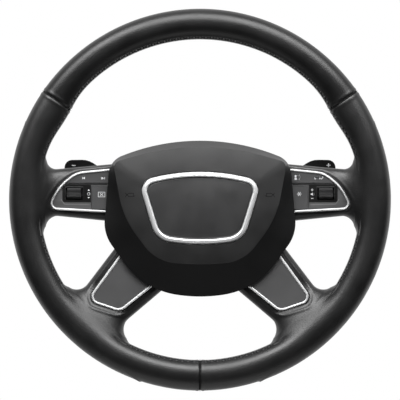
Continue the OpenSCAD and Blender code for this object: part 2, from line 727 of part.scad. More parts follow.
module control_unit() {
    color([0.2, 0.2, 0.21]) facing() difference() {
        union() {
            translate([-20, -45, plate_z - 7]) cube([40, 12, 7]);
            translate([-10, -33, plate_z - 11]) cube([20, 7, 11]);
        }
        // Socket for the plug of the column's wiring
        translate([-8.5, -32, plate_z - 12]) cube([17, 5, 6]);
    }
}

// Switch panels, drawn for the right side
fascia = spoke_front - 0.6;
strip_base = fascia - 3;
rocker_low = side_hi - 13.6;
window_x1 = rim_in - 25.1;
window_x0 = window_x1 - roller_l - 3.8;
window_y1 = rocker_low - 3.8;
window_y0 = window_y1 - 2 * roller_r - 0.6;
button_x0 = panel_in + 2;
button_x1 = window_x0 - 8.8;
button_y0 = panel_edge(button_x1) + strip_w + gap;
button_y1 = window_y1;
roller_x = (window_x0 + window_x1) / 2;
roller_y = (window_y0 + window_y1) / 2 - 0.6;
roller_z = fascia - 3.4;
carrier_w = 1.1;
carrier_back = panel_floor + 2.6;
guide_r = 2;
axle_r = 1.2;
rocker_floor = fascia - 5;
module board_space(edge, low, high) {
    intersection() {
        prism(inset(panel_outline, strip_w + edge), low, high);
        translate([0, -rim_r, low]) cube([panel_deep - edge, rim_d, high - low]);
    }
}
module above(y) {
    intersection() {
        children();
        translate([0, y, 0]) cube([400, 100, 200]);
    }
}
module rocker_area(grow, z0, z1) {
    above(rocker_low - grow) prism(inset(panel_outline, strip_w + gap - grow), z0, z1);
}
rocker_pivot_x = rim_in - 46.5;
rocker_pivot_z = rocker_floor + 1.6;
pivot_r = 0.6;
module switch_housing() {
    button_mid = [(button_x0 + button_x1) / 2, (button_y0 + button_y1) / 2];
    difference() {
        union() {
            prism(inset(panel_outline, strip_w + 0.1), tip_floor, fascia);
            // Ledge that carries the bright strip
            panel_body(-0.1, panel_floor, strip_base);
        }
        board_space(2.4, panel_floor - 1, panel_floor + 1.6);
        rocker_area(gap - 0.05, rocker_floor, fascia + 1);
        translate([window_x0, roller_y - roller_r - gap, panel_floor - 1])
            cube([window_x1 - window_x0, 2 * roller_r + 2 * gap, 40]);
        translate([button_x0 - 20, button_y0 - gap, fascia - 7])
            cube([button_x1 - button_x0 + 20 + gap, button_y1 - button_y0 + 2 * gap, 40]);
        translate([button_mid.x, button_mid.y, panel_floor])
            cylinder(h = 10, r = guide_r + running, $fn = 36);
        // Sloping ledge below the roller, down to the lower strip
        translate([0, -1.8, fascia]) rotate([-24, 0, 0])
            translate([button_x1 + 1.6, -30, 0]) cube([60, 30, 9]);
    }
    translate([rocker_pivot_x - 3.5, rocker_low + 1, rocker_floor - 0.1]) difference() {
        cube([7, 1.6, 3.2]);
        translate([3.5, -1, 1.7]) rotate([-90, 0, 0]) cylinder(h = 4, r = pivot_r + running, $fn = 24);
    }
}
module rocker() {
    difference() {
        rocker_area(0, rocker_floor + 0.9, fascia + 0.8);
        translate([rocker_pivot_x - 4.2, rocker_low - 1, rocker_floor]) cube([8.4, 4.4, 4]);
    }
    translate([rocker_pivot_x, rocker_low + 0.3, rocker_pivot_z]) rotate([-90, 0, 0])
        cylinder(h = 4, r = pivot_r, $fn = 24);
    translate([rocker_pivot_x - pivot_r, rocker_low, rocker_pivot_z - pivot_r]) cube([2 * pivot_r, 0.8, 5]);
}
module roller() {
    teeth = [for (k = [0:roller_ribs - 1]) for (e = [0:3])
        let (a = 360 / roller_ribs * (k + [0, 0.2, 0.5, 0.7][e]), r = e < 2 ? roller_r : roller_r - 0.5)
        [r * cos(a), r * sin(a)]];
    translate([roller_x, roller_y, roller_z]) rotate([0, 90, 0]) union() {
        translate([0, 0, -roller_l / 2]) linear_extrude(roller_l) polygon(teeth);
        translate([0, 0, -roller_l / 2 - gap - carrier_w + 0.1])
            cylinder(h = roller_l + 2 * (gap + carrier_w - 0.1), r = axle_r, $fn = 32);
    }
}
module roller_carrier() {
    half = roller_l / 2 + gap;
    height = roller_z + 3 - carrier_back;
    // Arms that hold the axle, each with a rib that slides on the housing
    for (end = [0, 1]) translate([roller_x, roller_y, carrier_back]) mirror([end, 0, 0]) difference() {
        union() {
            translate([half, -3.4, 0]) cube([carrier_w, 6.8, height]);
            translate([half + carrier_w - 0.1, -1.2, 0])
                cube([window_x1 - roller_x - half - carrier_w + 0.1 - running, 2.4, height - 4.6]);
        }
        translate([half - 1, 0, roller_z - carrier_back]) rotate([0, 90, 0])
            cylinder(h = carrier_w + 2, r = axle_r + running, $fn = 32);
    }
    translate([roller_x - half - 0.1, roller_y - 3.4, carrier_back]) cube([2 * half + 0.2, 6.8, 1]);
}
module mode_button() {
    button_mid = [(button_x0 + button_x1) / 2, (button_y0 + button_y1) / 2];
    difference() {
        translate([button_x0, button_y0, fascia - 5.6])
            cube([button_x1 - button_x0, button_y1 - button_y0, 6.6]);
        // The lower part of the button slopes away from the driver
        translate([button_x0 - 1, -1.6, fascia + 1]) rotate([-24, 0, 0])
            translate([0, -30, 0]) cube([60, 30, 9]);
    }
    // Stem that slides in the housing
    translate([button_mid.x, button_mid.y, panel_floor + 2.6])
        cylinder(h = fascia - 5.6 - panel_floor - 2.4, r = guide_r, $fn = 36);
}
module switch_board() {
    board_space(2.6, panel_floor, panel_floor + 1.4);
    // Rubber dome under the roller's carrier
    translate([roller_x, roller_y, panel_floor + 1.3]) cylinder(h = 0.4, r = 2.2, $fn = 24);
}
module switch_strip() {
    top = spoke_front + strip_rise;
    strip(strip_path, [[0.1, strip_base], [0.1, top - 0.9], [strip_w * 0.35, top], [strip_w * 0.75, top],
        [strip_w - 0.1, top - 0.9], [strip_w - 0.1, strip_base]], false);
}

// Lower spoke trims, in the spoke's own frame
trim_seat = spoke_front - trim_d;
module spoke_insert() {
    rotate([0, 0, -lower_angle]) prism(inset(trim_outline, trim_w), trim_seat, spoke_front + 0.4);
}
module spoke_trim() {
    top = spoke_front + 1.4;
    rotate([0, 0, -lower_angle]) strip(trim_path, [[0.1, trim_seat], [0.1, top - 0.9], [trim_w * 0.3, top],
        [trim_w * 0.75, top], [trim_w - 0.1, top - 0.8], [trim_w - 0.1, trim_seat]], false);
}

// Shift paddles and what carries them, drawn for the right side
knuckle_r = 3.4;
hinge_z = paddle_z + paddle_t / 2;
module paddle() {
    handle = rounded([[96.5, paddle_y0, 6], [96.5, 30, 8], [112, paddle_top + 0.4, 20],
        [paddle_x - 1.4, paddle_top, 7.5], [paddle_x, paddle_y0, 9]]);
    difference() {
        union() {
            prism(handle, paddle_z, paddle_z + paddle_t);
            translate([paddle_hinge_x, arm_y0, paddle_z]) cube([30, arm_y1 - arm_y0, paddle_t]);
            translate([paddle_hinge_x, arm_y0, hinge_z]) rotate([-90, 0, 0])
                cylinder(h = arm_y1 - arm_y0, r = knuckle_r, $fn = 48);
        }
        translate([paddle_hinge_x, arm_y0 - 1, hinge_z]) rotate([-90, 0, 0])
            cylinder(h = arm_y1 - arm_y0 + 2, r = paddle_pin_r + running, $fn = 36);
        // Finger hollow in the back of the handle
        translate([118, 12, paddle_z - 26.5]) rotate([90, 0, 0])
            cylinder(h = 70, r = 28, center = true, $fn = 96);
    }
}
ear_t = 2.5;
bracket_x0 = paddle_hinge_x - 3;
bracket_l = side_in - 0.5 - bracket_x0;
module paddle_bracket() {
    difference() {
        union() {
            for (y = [arm_y0 - gap - ear_t, arm_y1 + gap])
                translate([bracket_x0, y, hinge_z - 4]) cube([bracket_l, ear_t, cast_low - hinge_z + 4]);
            translate([bracket_x0, arm_y0 - gap - ear_t, cast_low - 3])
                cube([bracket_l, arm_y1 - arm_y0 + 2 * gap + 2 * ear_t, 3]);
        }
        translate([paddle_hinge_x, arm_y0 - 10, hinge_z]) rotate([-90, 0, 0])
            cylinder(h = arm_y1 - arm_y0 + 20, r = paddle_pin_r, $fn = 36);
    }
}
module paddle_pin() {
    translate([paddle_hinge_x, arm_y0 - gap - ear_t, hinge_z]) rotate([-90, 0, 0])
        cylinder(h = arm_y1 - arm_y0 + 2 * (gap + ear_t), r = paddle_pin_r, $fn = 36);
}
module paddle_spring() {
    // Leaf from the bracket down and out to the front of the paddle arm
    top = cast_low - 3;
    front = paddle_z + paddle_t;
    x0 = bracket_x0 + 0.5;
    side_cut([[x0, top], [x0, top - 0.6], [x0 + 3.6, top - 0.6], [x0 + 6, top - 6], [x0 + 14.6, front],
        [x0 + 15.4, front], [x0 + 15.4, front + 0.5], [x0 + 6.6, top - 5.6], [x0 + 4.2, top]], 6, 16);
}

module dressed(shade, side) {
    color(shade) facing() mirror([side, 0, 0]) children();
}
module switch_housing_left() { dressed([0.11, 0.11, 0.115], 1) switch_housing(); }
module switch_housing_right() { dressed([0.11, 0.11, 0.115], 0) switch_housing(); }
module switch_strip_left() { dressed([0.85, 0.86, 0.87], 1) switch_strip(); }
module switch_strip_right() { dressed([0.85, 0.86, 0.87], 0) switch_strip(); }
module switch_board_left() { dressed("darkgreen", 1) switch_board(); }
module switch_board_right() { dressed("darkgreen", 0) switch_board(); }
module rocker_left() { dressed([0.2, 0.2, 0.205], 1) rocker(); }
module rocker_right() { dressed([0.2, 0.2, 0.205], 0) rocker(); }
module roller_left() { dressed([0.08, 0.08, 0.085], 1) roller(); }
module roller_right() { dressed([0.08, 0.08, 0.085], 0) roller(); }
module roller_carrier_left() { dressed([0.3, 0.3, 0.3], 1) roller_carrier(); }
module roller_carrier_right() { dressed([0.3, 0.3, 0.3], 0) roller_carrier(); }
module mode_button_left() { dressed([0.18, 0.18, 0.185], 1) mode_button(); }
module mode_button_right() { dressed([0.18, 0.18, 0.185], 0) mode_button(); }
module spoke_trim_left() { dressed([0.85, 0.86, 0.87], 1) spoke_trim(); }
module spoke_trim_right() { dressed([0.85, 0.86, 0.87], 0) spoke_trim(); }
module spoke_insert_left() { dressed([0.2, 0.2, 0.21], 1) spoke_insert(); }
module spoke_insert_right() { dressed([0.2, 0.2, 0.21], 0) spoke_insert(); }
module paddle_left() { dressed([0.13, 0.13, 0.135], 1) paddle(); }
module paddle_right() { dressed([0.13, 0.13, 0.135], 0) paddle(); }
module paddle_bracket_left() { dressed([0.3, 0.3, 0.31], 1) paddle_bracket(); }
module paddle_bracket_right() { dressed([0.3, 0.3, 0.31], 0) paddle_bracket(); }
module paddle_pin_left() { dressed("silver", 1) paddle_pin(); }
module paddle_pin_right() { dressed("silver", 0) paddle_pin(); }
module paddle_spring_left() { dressed("silver", 1) paddle_spring(); }
module paddle_spring_right() { dressed("silver", 0) paddle_spring(); }

armature();
hub_insert();
rim_foam();
leather_top();
leather_left();
leather_right();
rear_cover();
rear_cover_screws();
control_unit();
horn_bushes();
horn_springs();
airbag_cover();
chrome_ring();
badge_field();
airbag_can();
airbag_cushion();
inflator();
inflator_nuts();
horn_pins();
switch_housing_left();
switch_housing_right();
switch_strip_left();
switch_strip_right();
switch_board_left();
switch_board_right();
rocker_left();
rocker_right();
roller_left();
roller_right();
roller_carrier_left();
roller_carrier_right();
mode_button_left();
mode_button_right();
spoke_trim_left();
spoke_trim_right();
spoke_insert_left();
spoke_insert_right();
paddle_left();
paddle_right();
paddle_bracket_left();
paddle_bracket_right();
paddle_pin_left();
paddle_pin_right();
paddle_spring_left();
paddle_spring_right();
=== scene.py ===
import math

import bmesh
import bpy
import numpy as np
import openvdb
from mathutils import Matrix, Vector

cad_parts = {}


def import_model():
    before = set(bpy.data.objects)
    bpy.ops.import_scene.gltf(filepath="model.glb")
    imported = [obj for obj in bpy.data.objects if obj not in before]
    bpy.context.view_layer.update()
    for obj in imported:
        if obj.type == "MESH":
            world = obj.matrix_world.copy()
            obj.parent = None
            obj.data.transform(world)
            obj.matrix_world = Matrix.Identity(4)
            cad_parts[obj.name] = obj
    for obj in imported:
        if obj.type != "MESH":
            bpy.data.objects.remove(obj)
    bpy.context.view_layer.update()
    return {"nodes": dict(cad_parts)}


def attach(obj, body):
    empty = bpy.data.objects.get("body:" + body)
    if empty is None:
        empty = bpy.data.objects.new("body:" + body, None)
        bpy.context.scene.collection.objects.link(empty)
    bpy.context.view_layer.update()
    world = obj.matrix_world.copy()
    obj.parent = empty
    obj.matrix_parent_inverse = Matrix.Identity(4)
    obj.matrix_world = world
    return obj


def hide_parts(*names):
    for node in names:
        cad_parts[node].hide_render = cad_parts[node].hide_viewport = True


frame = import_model()
nodes = frame["nodes"]

# Sizes of the wheel in mm, in the face frame: x right, y up, z towards the driver
RIM_IN, RIM_R, RIM_Z, RIM_DEPTH = 157.5, 172.5, 62.0, 33.0
RIM_HALF, RIM_POWER = RIM_R - RIM_IN, 2.25
# Turns in degrees from the right: the leather's seam, and the thumb rest with its swell and spread
SEAM = 34.7
THUMB, THUMB_SWELL, THUMB_SPREAD = 31.0, 3.6, 8.5
# The arms' faces, and for each pair its root and its half widths at the rim
FRONT, BACK = 60.0, 34.0
SIDE_IN, SIDE_HI, SIDE_LO = 80.0, 30.2, 16.0
LOWER, LOWER_IN, LOWER_HI, LOWER_LO = math.radians(-46.2), 84.0, 22.4, 30.0
# The airbag cover
COVER_TOP, COVER_BOTTOM, COVER_X, SHOULDER = 57.0, 94.5, 93.6, 88.5
COVER_FRONT, COVER_CROWN, COVER_BACK, COVER_T = 81.5, 5.2, 45.0, 2.8
CROWN_POWER = 2.3
# The switch panels
FASCIA = 59.4
PANEL_TIP, PANEL_IN = 151.6, 84.0

SIDES = (("right", False), ("left", True))


# Outlines


def rounded(corners, step=4.0):
    """Points of an outline whose corners are [x, y, radius]."""
    pts = [np.array(c[:2], float) for c in corners]
    out = []
    for i, c in enumerate(corners):
        r = c[2]
        p = pts[i]
        if r <= 0:
            out.append(p)
            continue
        u = pts[i - 1] - p
        v = pts[(i + 1) % len(pts)] - p
        u /= np.linalg.norm(u)
        v /= np.linalg.norm(v)
        half = math.acos(float(np.clip(u @ v, -1, 1))) / 2
        mid = (u + v) / np.linalg.norm(u + v)
        c0 = p + mid * r / math.sin(half)
        s = p + u * r / math.tan(half)
        a0 = math.atan2(s[1] - c0[1], s[0] - c0[0])
        turn = -1 if u[0] * v[1] - u[1] * v[0] > 0 else 1
        sweep = turn * (math.pi - 2 * half)
        n = max(1, math.ceil(abs(math.degrees(sweep)) / step))
        for angle in a0 + sweep * np.arange(n + 1) / n:
            out.append(c0 + r * np.array([math.cos(angle), math.sin(angle)]))
    return np.array(out)


def both_sides(half):
    """Corners of the right half, and of the left one as its mirror image."""
    return half + [[-c[0], c[1], c[2]] for c in reversed(half) if c[0] > 0.01]


def inset(points, d, closed=True):
    """The outline moved by d to the right of its direction, which is inwards on a clockwise one."""
    p = np.asarray(points, float)
    prev, nxt = np.roll(p, 1, 0), np.roll(p, -1, 0)
    e, f = p - prev, nxt - p
    if not closed:
        e[0], f[-1] = f[0], e[-1]
    e /= np.linalg.norm(e, axis=1, keepdims=True) + 1e-12
    f /= np.linalg.norm(f, axis=1, keepdims=True) + 1e-12
    n1 = np.stack([e[:, 1], -e[:, 0]], 1)
    n2 = np.stack([f[:, 1], -f[:, 0]], 1)
    return p + d * (n1 + n2) / (1 + (n1 * n2).sum(1, keepdims=True))


def resample(points, step, closed=True):
    """Points at even distances along an outline."""
    p = np.asarray(points, float)
    if closed:
        p = np.vstack([p, p[:1]])
    length = np.r_[0, np.cumsum(np.linalg.norm(np.diff(p, axis=0), axis=1))]
    n = max(3, round(length[-1] / step))
    t = np.linspace(0, length[-1], n + 1)
    if closed:
        t = t[:-1]
    return np.stack([np.interp(t, length, p[:, 0]), np.interp(t, length, p[:, 1])], 1)


def reach(outline, centre, angles):
    """Distance from a point inside an outline to it, along each angle."""
    p = outline - centre
    a = np.unwrap(np.arctan2(p[:, 1], p[:, 0]))
    if a[-1] < a[0]:
        p, a = p[::-1], a[::-1]
    a = np.r_[a - 2 * np.pi, a, a + 2 * np.pi, a + 4 * np.pi]
    x, y = np.tile(p[:, 0], 4), np.tile(p[:, 1], 4)
    # Both ends of the edge that each ray crosses
    k = np.clip(np.searchsorted(a, angles + 2 * np.pi, side="right") - 1, 0, len(a) - 2)
    ex, ey = x[k + 1] - x[k], y[k + 1] - y[k]
    c, s = np.cos(angles), np.sin(angles)
    return (x[k] * ey - y[k] * ex) / (c * ey - s * ex)


def polygon_distance(x, y, outline):
    """Signed distance to a closed outline, negative inside."""
    best = np.full(x.shape, 1e9)
    inside = np.zeros(x.shape, bool)
    m = len(outline)
    for i in range(m):
        ax, ay = outline[i]
        bx, by = outline[(i + 1) % m]
        ex, ey = bx - ax, by - ay
        t = np.clip(((x - ax) * ex + (y - ay) * ey) / (ex * ex + ey * ey + 1e-12), 0, 1)
        best = np.minimum(best, (x - ax - t * ex) ** 2 + (y - ay - t * ey) ** 2)
        crosses = (ay > y) != (by > y)
        with np.errstate(divide="ignore", invalid="ignore"):
            cut = ax + (y - ay) * ex / (ey if abs(ey) > 1e-12 else 1e-12)
        inside ^= crosses & (x < cut)
    return np.where(inside, -1, 1) * np.sqrt(best)


cover_outline = rounded(both_sides([
    [0, COVER_TOP + 17.4, 205], [SHOULDER, COVER_TOP - 18.8, 20], [COVER_X + 1.2, -33.4, 38],
    [COVER_X - 38.1, 6.4 - COVER_BOTTOM, 78], [0, -2.5 - COVER_BOTTOM, 150]]), 1.5)
crease_outline = rounded(both_sides([
    [0, COVER_TOP + 3.6, 230], [SHOULDER - 3.6, COVER_TOP - 20.6, 7], [SHOULDER - 13.7, -17.8, 90],
    [COVER_X - 51, 33.8 - COVER_BOTTOM, 42], [0, 30.9 - COVER_BOTTOM, 220]]), 1.5)
ring_outline = rounded(both_sides([
    [0, 33.2, 190], [60.2, 18.2, 13.5], [42.4, -39.6, 22], [0, -45.6, 190]]), 2)
PANEL_HI, PANEL_LO = SIDE_HI + 0.8, SIDE_LO - 2.8
PANEL = [[PANEL_IN, PANEL_HI, 0], [RIM_IN - 35.5, PANEL_HI - 3.8, 25], [RIM_IN - 18, SIDE_HI - 16.8, 50],
         [PANEL_TIP, 3.6 - PANEL_LO, 7], [PANEL_IN, -PANEL_LO, 0]]
panel_outline = rounded(PANEL, 3)
TRIM_IN = LOWER_IN + 1
TRIM_HI, TRIM_LO = 20.6, 26.6
TRIM = [[TRIM_IN, TRIM_HI, 0], [RIM_IN - 8.4, TRIM_HI - 8.6, 8], [RIM_IN - 23.5, 6.6 - TRIM_LO, 11],
        [TRIM_IN, -TRIM_LO, 0]]
trim_outline = rounded(TRIM, 3)


# Meshes


def world(points):
    """Points of the face frame in mm as points of the shared frame in metres."""
    p = np.asarray(points, float)
    return np.stack([p[:, 0], -p[:, 2], p[:, 1]], 1) / 1000


def linked(name, data):
    """A new object in the scene."""
    obj = bpy.data.objects.new(name, data)
    bpy.context.scene.collection.objects.link(obj)
    return obj


def add(name, points, faces, body, mat, replaces=(), mirror=False, smooth=True):
    """A piece from points in the face frame, in mm."""
    pts = np.array(points, float)
    if mirror:
        pts[:, 0] *= -1
        faces = [tuple(reversed(f)) for f in faces]
    mesh = bpy.data.meshes.new(name)
    mesh.from_pydata(world(pts).tolist(), [], [tuple(int(i) for i in f) for f in faces])
    mesh.update()
    mesh.materials.append(mat)
    obj = linked(name, mesh)
    if smooth:
        mesh.polygons.foreach_set("use_smooth", [True] * len(mesh.polygons))
    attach(obj, body)
    if replaces:
        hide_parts(*replaces)
    return obj


def gathered(meshes):
    """One list of points and faces from several."""
    points, faces = [], []
    for p, f in meshes:
        faces += [tuple(v + len(points) for v in face) for face in f]
        points += np.asarray(p).tolist()
    return points, faces


def sharpen(obj, degrees):
    """Edges over an angle are drawn sharp."""
    bm = bmesh.new()
    bm.from_mesh(obj.data)
    for e in bm.edges:
        e.smooth = len(e.link_faces) == 2 and e.calc_face_angle(0) < math.radians(degrees)
    bm.to_mesh(obj.data)
    bm.free()


def rings_to_mesh(rings, loop=False):
    """Faces through rings of as many points each, and over the first and the last ring if it is no loop."""
    n, m = len(rings[0]), len(rings)
    faces = []
    for i in range(m if loop else m - 1):
        j = (i + 1) % m
        for k in range(n):
            q = (k + 1) % n
            faces.append((i * n + k, i * n + q, j * n + q, j * n + k))
    if not loop:
        faces.append(tuple(range(n - 1, -1, -1)))
        faces.append(tuple((m - 1) * n + k for k in range(n)))
    return np.vstack(rings), faces


def strip_mesh(path, section, closed):
    """A section of (inset, height) points carried along a path."""
    rows = [inset(path, s[0], closed) for s in section]
    rings = [np.array([[rows[k][i][0], rows[k][i][1], section[k][1]] for k in range(len(section))])
             for i in range(len(path))]
    return rings_to_mesh(rings, closed)


def round_section(corners, r, n=4):
    """A closed section whose top corners are rounded, from (inset, height, radius) corners."""
    return [tuple(p) for p in rounded([[c[0], c[1], min(c[2], r)] for c in corners], 90 / n)]


def refined(node, body, mat, width, segments=2, angle=28):
    """The CAD node's form with edges rounded by width mm, where they are sharper than angle degrees."""
    src = nodes[node].data
    mesh = bpy.data.meshes.new(node + "_fine")
    mesh.from_pydata([v.co[:] for v in src.vertices], [], [tuple(p.vertices) for p in src.polygons])
    bm = bmesh.new()
    bm.from_mesh(mesh)
    bmesh.ops.remove_doubles(bm, verts=bm.verts, dist=2e-6)
    bmesh.ops.dissolve_degenerate(bm, edges=bm.edges, dist=2e-6)
    bmesh.ops.dissolve_limit(bm, angle_limit=math.radians(0.6), verts=bm.verts, edges=bm.edges)
    bm.to_mesh(mesh)
    bm.free()
    mesh.materials.append(mat)
    obj = linked(node + "_fine", mesh)
    mesh.polygons.foreach_set("use_smooth", [True] * len(mesh.polygons))
    bevel = obj.modifiers.new("edges", "BEVEL")
    bevel.width = width / 1000
    bevel.segments = segments
    bevel.limit_method = "ANGLE"
    bevel.angle_limit = math.radians(angle)
    bevel.harden_normals = False
    bevel.use_clamp_overlap = True
    normals = obj.modifiers.new("normals", "WEIGHTED_NORMAL")
    normals.keep_sharp = False
    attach(obj, body)
    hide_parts(node)
    return obj


# Materials


def wired(tree, kind, sockets, **settings):
    """A node of a shader tree. Each socket gets a value, or a link from another node's output."""
    made = tree.nodes.new(kind)
    for setting, value in settings.items():
        setattr(made, setting, value)
    for socket, value in sockets.items():
        if isinstance(value, bpy.types.NodeSocket):
            tree.links.new(value, made.inputs[socket])
        else:
            made.inputs[socket].default_value = value
    return made


def mapped(tree, value, low, high, to_low, to_high, **settings):
    """A value brought from one range to another."""
    sockets = {"From Min": low, "From Max": high, "To Min": to_low, "To Max": to_high, "Value": value}
    return wired(tree, "ShaderNodeMapRange", sockets, **settings).outputs[0]


def grain_height(tree, place, kind, cell):
    """Height of the fine grain, whose cells are about cell mm wide."""
    if kind == "cells":
        sockets = {"Scale": 1000 / cell, "Smoothness": 0.35, "Vector": place}
        return wired(tree, "ShaderNodeTexVoronoi", sockets, feature="SMOOTH_F1").outputs["Distance"]
    if kind == "brushed":
        stretch = wired(tree, "ShaderNodeMapping", {"Scale": (1, 14, 14), "Vector": place})
        sockets = {"Scale": 120 / cell, "Detail": 3, "Vector": stretch.outputs[0]}
    else:
        sockets = {"Scale": 1000 / cell, "Detail": 5, "Roughness": 0.65, "Vector": place}
    return wired(tree, "ShaderNodeTexNoise", sockets).outputs["Fac"]


def material(name, color, rough, grain, cell, bump, kind="cells", metallic=0.0, spec=0.5, tone=0.12,
             wear=0.0):
    """Procedural surface: colour and roughness vary softly, and a grain in mm gives the bump."""
    mat = bpy.data.materials.new(name)
    mat.use_nodes = True
    tree = mat.node_tree
    tree.nodes.clear()
    place = wired(tree, "ShaderNodeTexCoord", {}).outputs["Object"]
    cloud = wired(tree, "ShaderNodeTexNoise", {"Scale": 45, "Detail": 4, "Vector": place}).outputs["Fac"]
    shade = mapped(tree, cloud, 0.3, 0.7, 1 - tone, 1 + tone)
    base = wired(tree, "ShaderNodeMix", {0: 1, 6: (*color, 1), 7: shade},
                 data_type="RGBA", blend_type="MULTIPLY").outputs[2]
    if wear:
        geometry = wired(tree, "ShaderNodeNewGeometry", {})
        edge = mapped(tree, geometry.outputs["Pointiness"], 0.52, 0.62, 0, wear)
        rubbed = [min(1, c * 2.2 + 0.02) for c in color]
        base = wired(tree, "ShaderNodeMix", {0: edge, 6: base, 7: (*rubbed, 1)}, data_type="RGBA").outputs[2]
    shine = mapped(tree, cloud, 0.25, 0.75, max(0.02, rough - 0.06), min(1, rough + 0.06))
    height = grain_height(tree, place, kind, cell)
    raised = wired(tree, "ShaderNodeBump", {"Strength": bump, "Distance": grain / 1000, "Height": height})
    surface = wired(tree, "ShaderNodeBsdfPrincipled", {
        "Base Color": base, "Roughness": shine, "Metallic": metallic, "Specular IOR Level": spec,
        "Normal": raised.outputs[0]})
    wired(tree, "ShaderNodeOutputMaterial", {0: surface.outputs[0]})
    return mat


# Grains that several materials share
HIDE = dict(grain=0.12, cell=1.3, bump=0.5, tone=0.15)
MOULDED = dict(grain=0.06, cell=0.7, bump=0.4, tone=0.08)
SATIN = dict(grain=0.02, cell=0.4, bump=0.3, kind="noise", tone=0.06, spec=0.95)
KEYS = dict(grain=0.03, cell=0.35, bump=0.35, kind="noise", tone=0.06, wear=0.3)

leather = material("leather", (0.0045, 0.0045, 0.0046), 0.37, spec=0.5, wear=0.25, **HIDE)
side_leather = material("side_leather", (0.0048, 0.0048, 0.0049), 0.42, spec=0.68, wear=0.2, **HIDE)
thread = material("thread", (0.022, 0.022, 0.023), 0.8, grain=0.1, cell=0.3, bump=0.6, kind="noise")
cover_skin = material("cover_skin", (0.007, 0.007, 0.0072), 0.47, spec=0.95, **MOULDED)
# Painted shade: the same skin as cover_skin with less sheen, for the cover's walls that don't look up
cover_wall_painted_shade = material("cover_wall_painted_shade", (0.007, 0.007, 0.0072), 0.54, spec=0.22, **MOULDED)
rear_skin = material("rear_skin", (0.007, 0.007, 0.0072), 0.52, grain=0.08, cell=0.8, bump=0.5, spec=0.14,
                     tone=0.08)
chrome = material("chrome", (0.95, 0.955, 0.96), 0.24, grain=0.002, cell=1.0, bump=0.1, kind="noise",
                  metallic=0.45, tone=0.03)
satin_panel = material("satin_panel", (0.022, 0.022, 0.0225), 0.43, **SATIN)
satin_insert = material("satin_insert", (0.06, 0.06, 0.061), 0.5, **SATIN)
switch_skin = material("switch_skin", (0.045, 0.045, 0.046), 0.45, **KEYS)
recess_skin = material("recess_skin", (0.055, 0.055, 0.056), 0.45, **KEYS)
rubber = material("rubber", (0.009, 0.009, 0.0095), 0.5, grain=0.05, cell=0.4, bump=0.4, kind="noise",
                  spec=0.35)
# Also painted shade for the pressed lines of the horn pictures on the cover
seam_black = material("seam_black", (0.004, 0.004, 0.004), 0.7, grain=0.02, cell=0.4, bump=0.3, spec=0.2)
pocket_black = material("pocket_black", (0.006, 0.006, 0.006), 0.4, grain=0.02, cell=0.4, bump=0.2, spec=0.3)
# Painted highlight: light grey for the line of light along the ledge under each roller
ledge_painted_highlight = material("ledge_painted_highlight", (0.16, 0.16, 0.162), 0.35, grain=0.01, cell=0.4, bump=0.2)
print_white = material("print_white", (0.72, 0.73, 0.74), 0.55, grain=0.01, cell=0.3, bump=0.2, kind="noise",
                       tone=0.04)
cast = material("cast", (0.42, 0.42, 0.43), 0.5, grain=0.12, cell=0.9, bump=0.4, kind="noise", metallic=0.8)
zinc = material("zinc", (0.6, 0.6, 0.58), 0.35, grain=0.03, cell=0.6, bump=0.3, kind="noise", metallic=1.0)
turned = material("turned", (0.55, 0.55, 0.56), 0.28, grain=0.03, cell=1.0, bump=0.3, kind="brushed",
                  metallic=1.0)
foam = material("foam", (0.12, 0.12, 0.12), 0.8, grain=0.2, cell=1.2, bump=0.5)
bush = material("bush", (0.6, 0.58, 0.5), 0.5, grain=0.03, cell=0.5, bump=0.3, kind="noise")
board = material("board", (0.03, 0.14, 0.06), 0.35, grain=0.05, cell=1.5, bump=0.4)
cloth = material("cloth", (0.7, 0.7, 0.68), 0.85, grain=0.2, cell=0.8, bump=0.5)

CAD_LOOKS = {
    "armature": cast, "hub_insert": turned, "rim_foam": foam, "rear_cover_screws": zinc,
    "control_unit": rear_skin, "horn_bushes": bush, "horn_springs": zinc, "airbag_can": zinc,
    "airbag_cushion": cloth, "inflator": turned, "inflator_nuts": zinc, "horn_pins": zinc}
for side, _ in SIDES:
    CAD_LOOKS[f"switch_board_{side}"] = board
    CAD_LOOKS[f"roller_carrier_{side}"] = rear_skin
    CAD_LOOKS[f"paddle_bracket_{side}"] = zinc
    CAD_LOOKS[f"paddle_pin_{side}"] = turned
    CAD_LOOKS[f"paddle_spring_{side}"] = zinc
for node, mat in CAD_LOOKS.items():
    nodes[node].data.materials.clear()
    nodes[node].data.materials.append(mat)


# Leather: the rim and its four arms as one field, cut into the three pieces


def smooth01(t):
    """A soft step from 0 to 1."""
    t = np.clip(t, 0, 1)
    return t * t * (3 - 2 * t)


def flare(d, r):
    """How far a flank swings out, d behind the start of a fillet of radius r."""
    q = np.clip(d / r, 0, 0.99)
    return np.where(d <= 0, 0, r * (1 - np.sqrt(1 - q * q)) + np.maximum(0, d - r) * 1.8)


def blend_min(a, b, k):
    """The smaller of two distances, with a fillet about k wide where they meet."""
    h = np.clip(0.5 + 0.5 * (b - a) / k, 0, 1)
    return b * (1 - h) + a * h - k * h * (1 - h)


def blend_max(a, b, k):
    return -blend_min(-a, -b, k)


def super_distance(u, v, a, b, p):
    """First-order distance to the curve (|u|/a)^p + (|v|/b)^p = 1."""
    ua, vb = np.abs(u) / a + 1e-9, np.abs(v) / b + 1e-9
    s = ua ** p + vb ** p
    q = s ** (1 / p)
    g = s ** (1 / p - 1)
    gu, gv = g * ua ** (p - 1) / a, g * vb ** (p - 1) / b
    return (q - 1) / np.sqrt(gu * gu + gv * gv)


def thumb_swell(angle):
    """How far the rim's inner side swells at the thumb rests, at a turn in degrees."""
    return THUMB_SWELL * np.exp(-((angle - THUMB) / THUMB_SPREAD) ** 2)


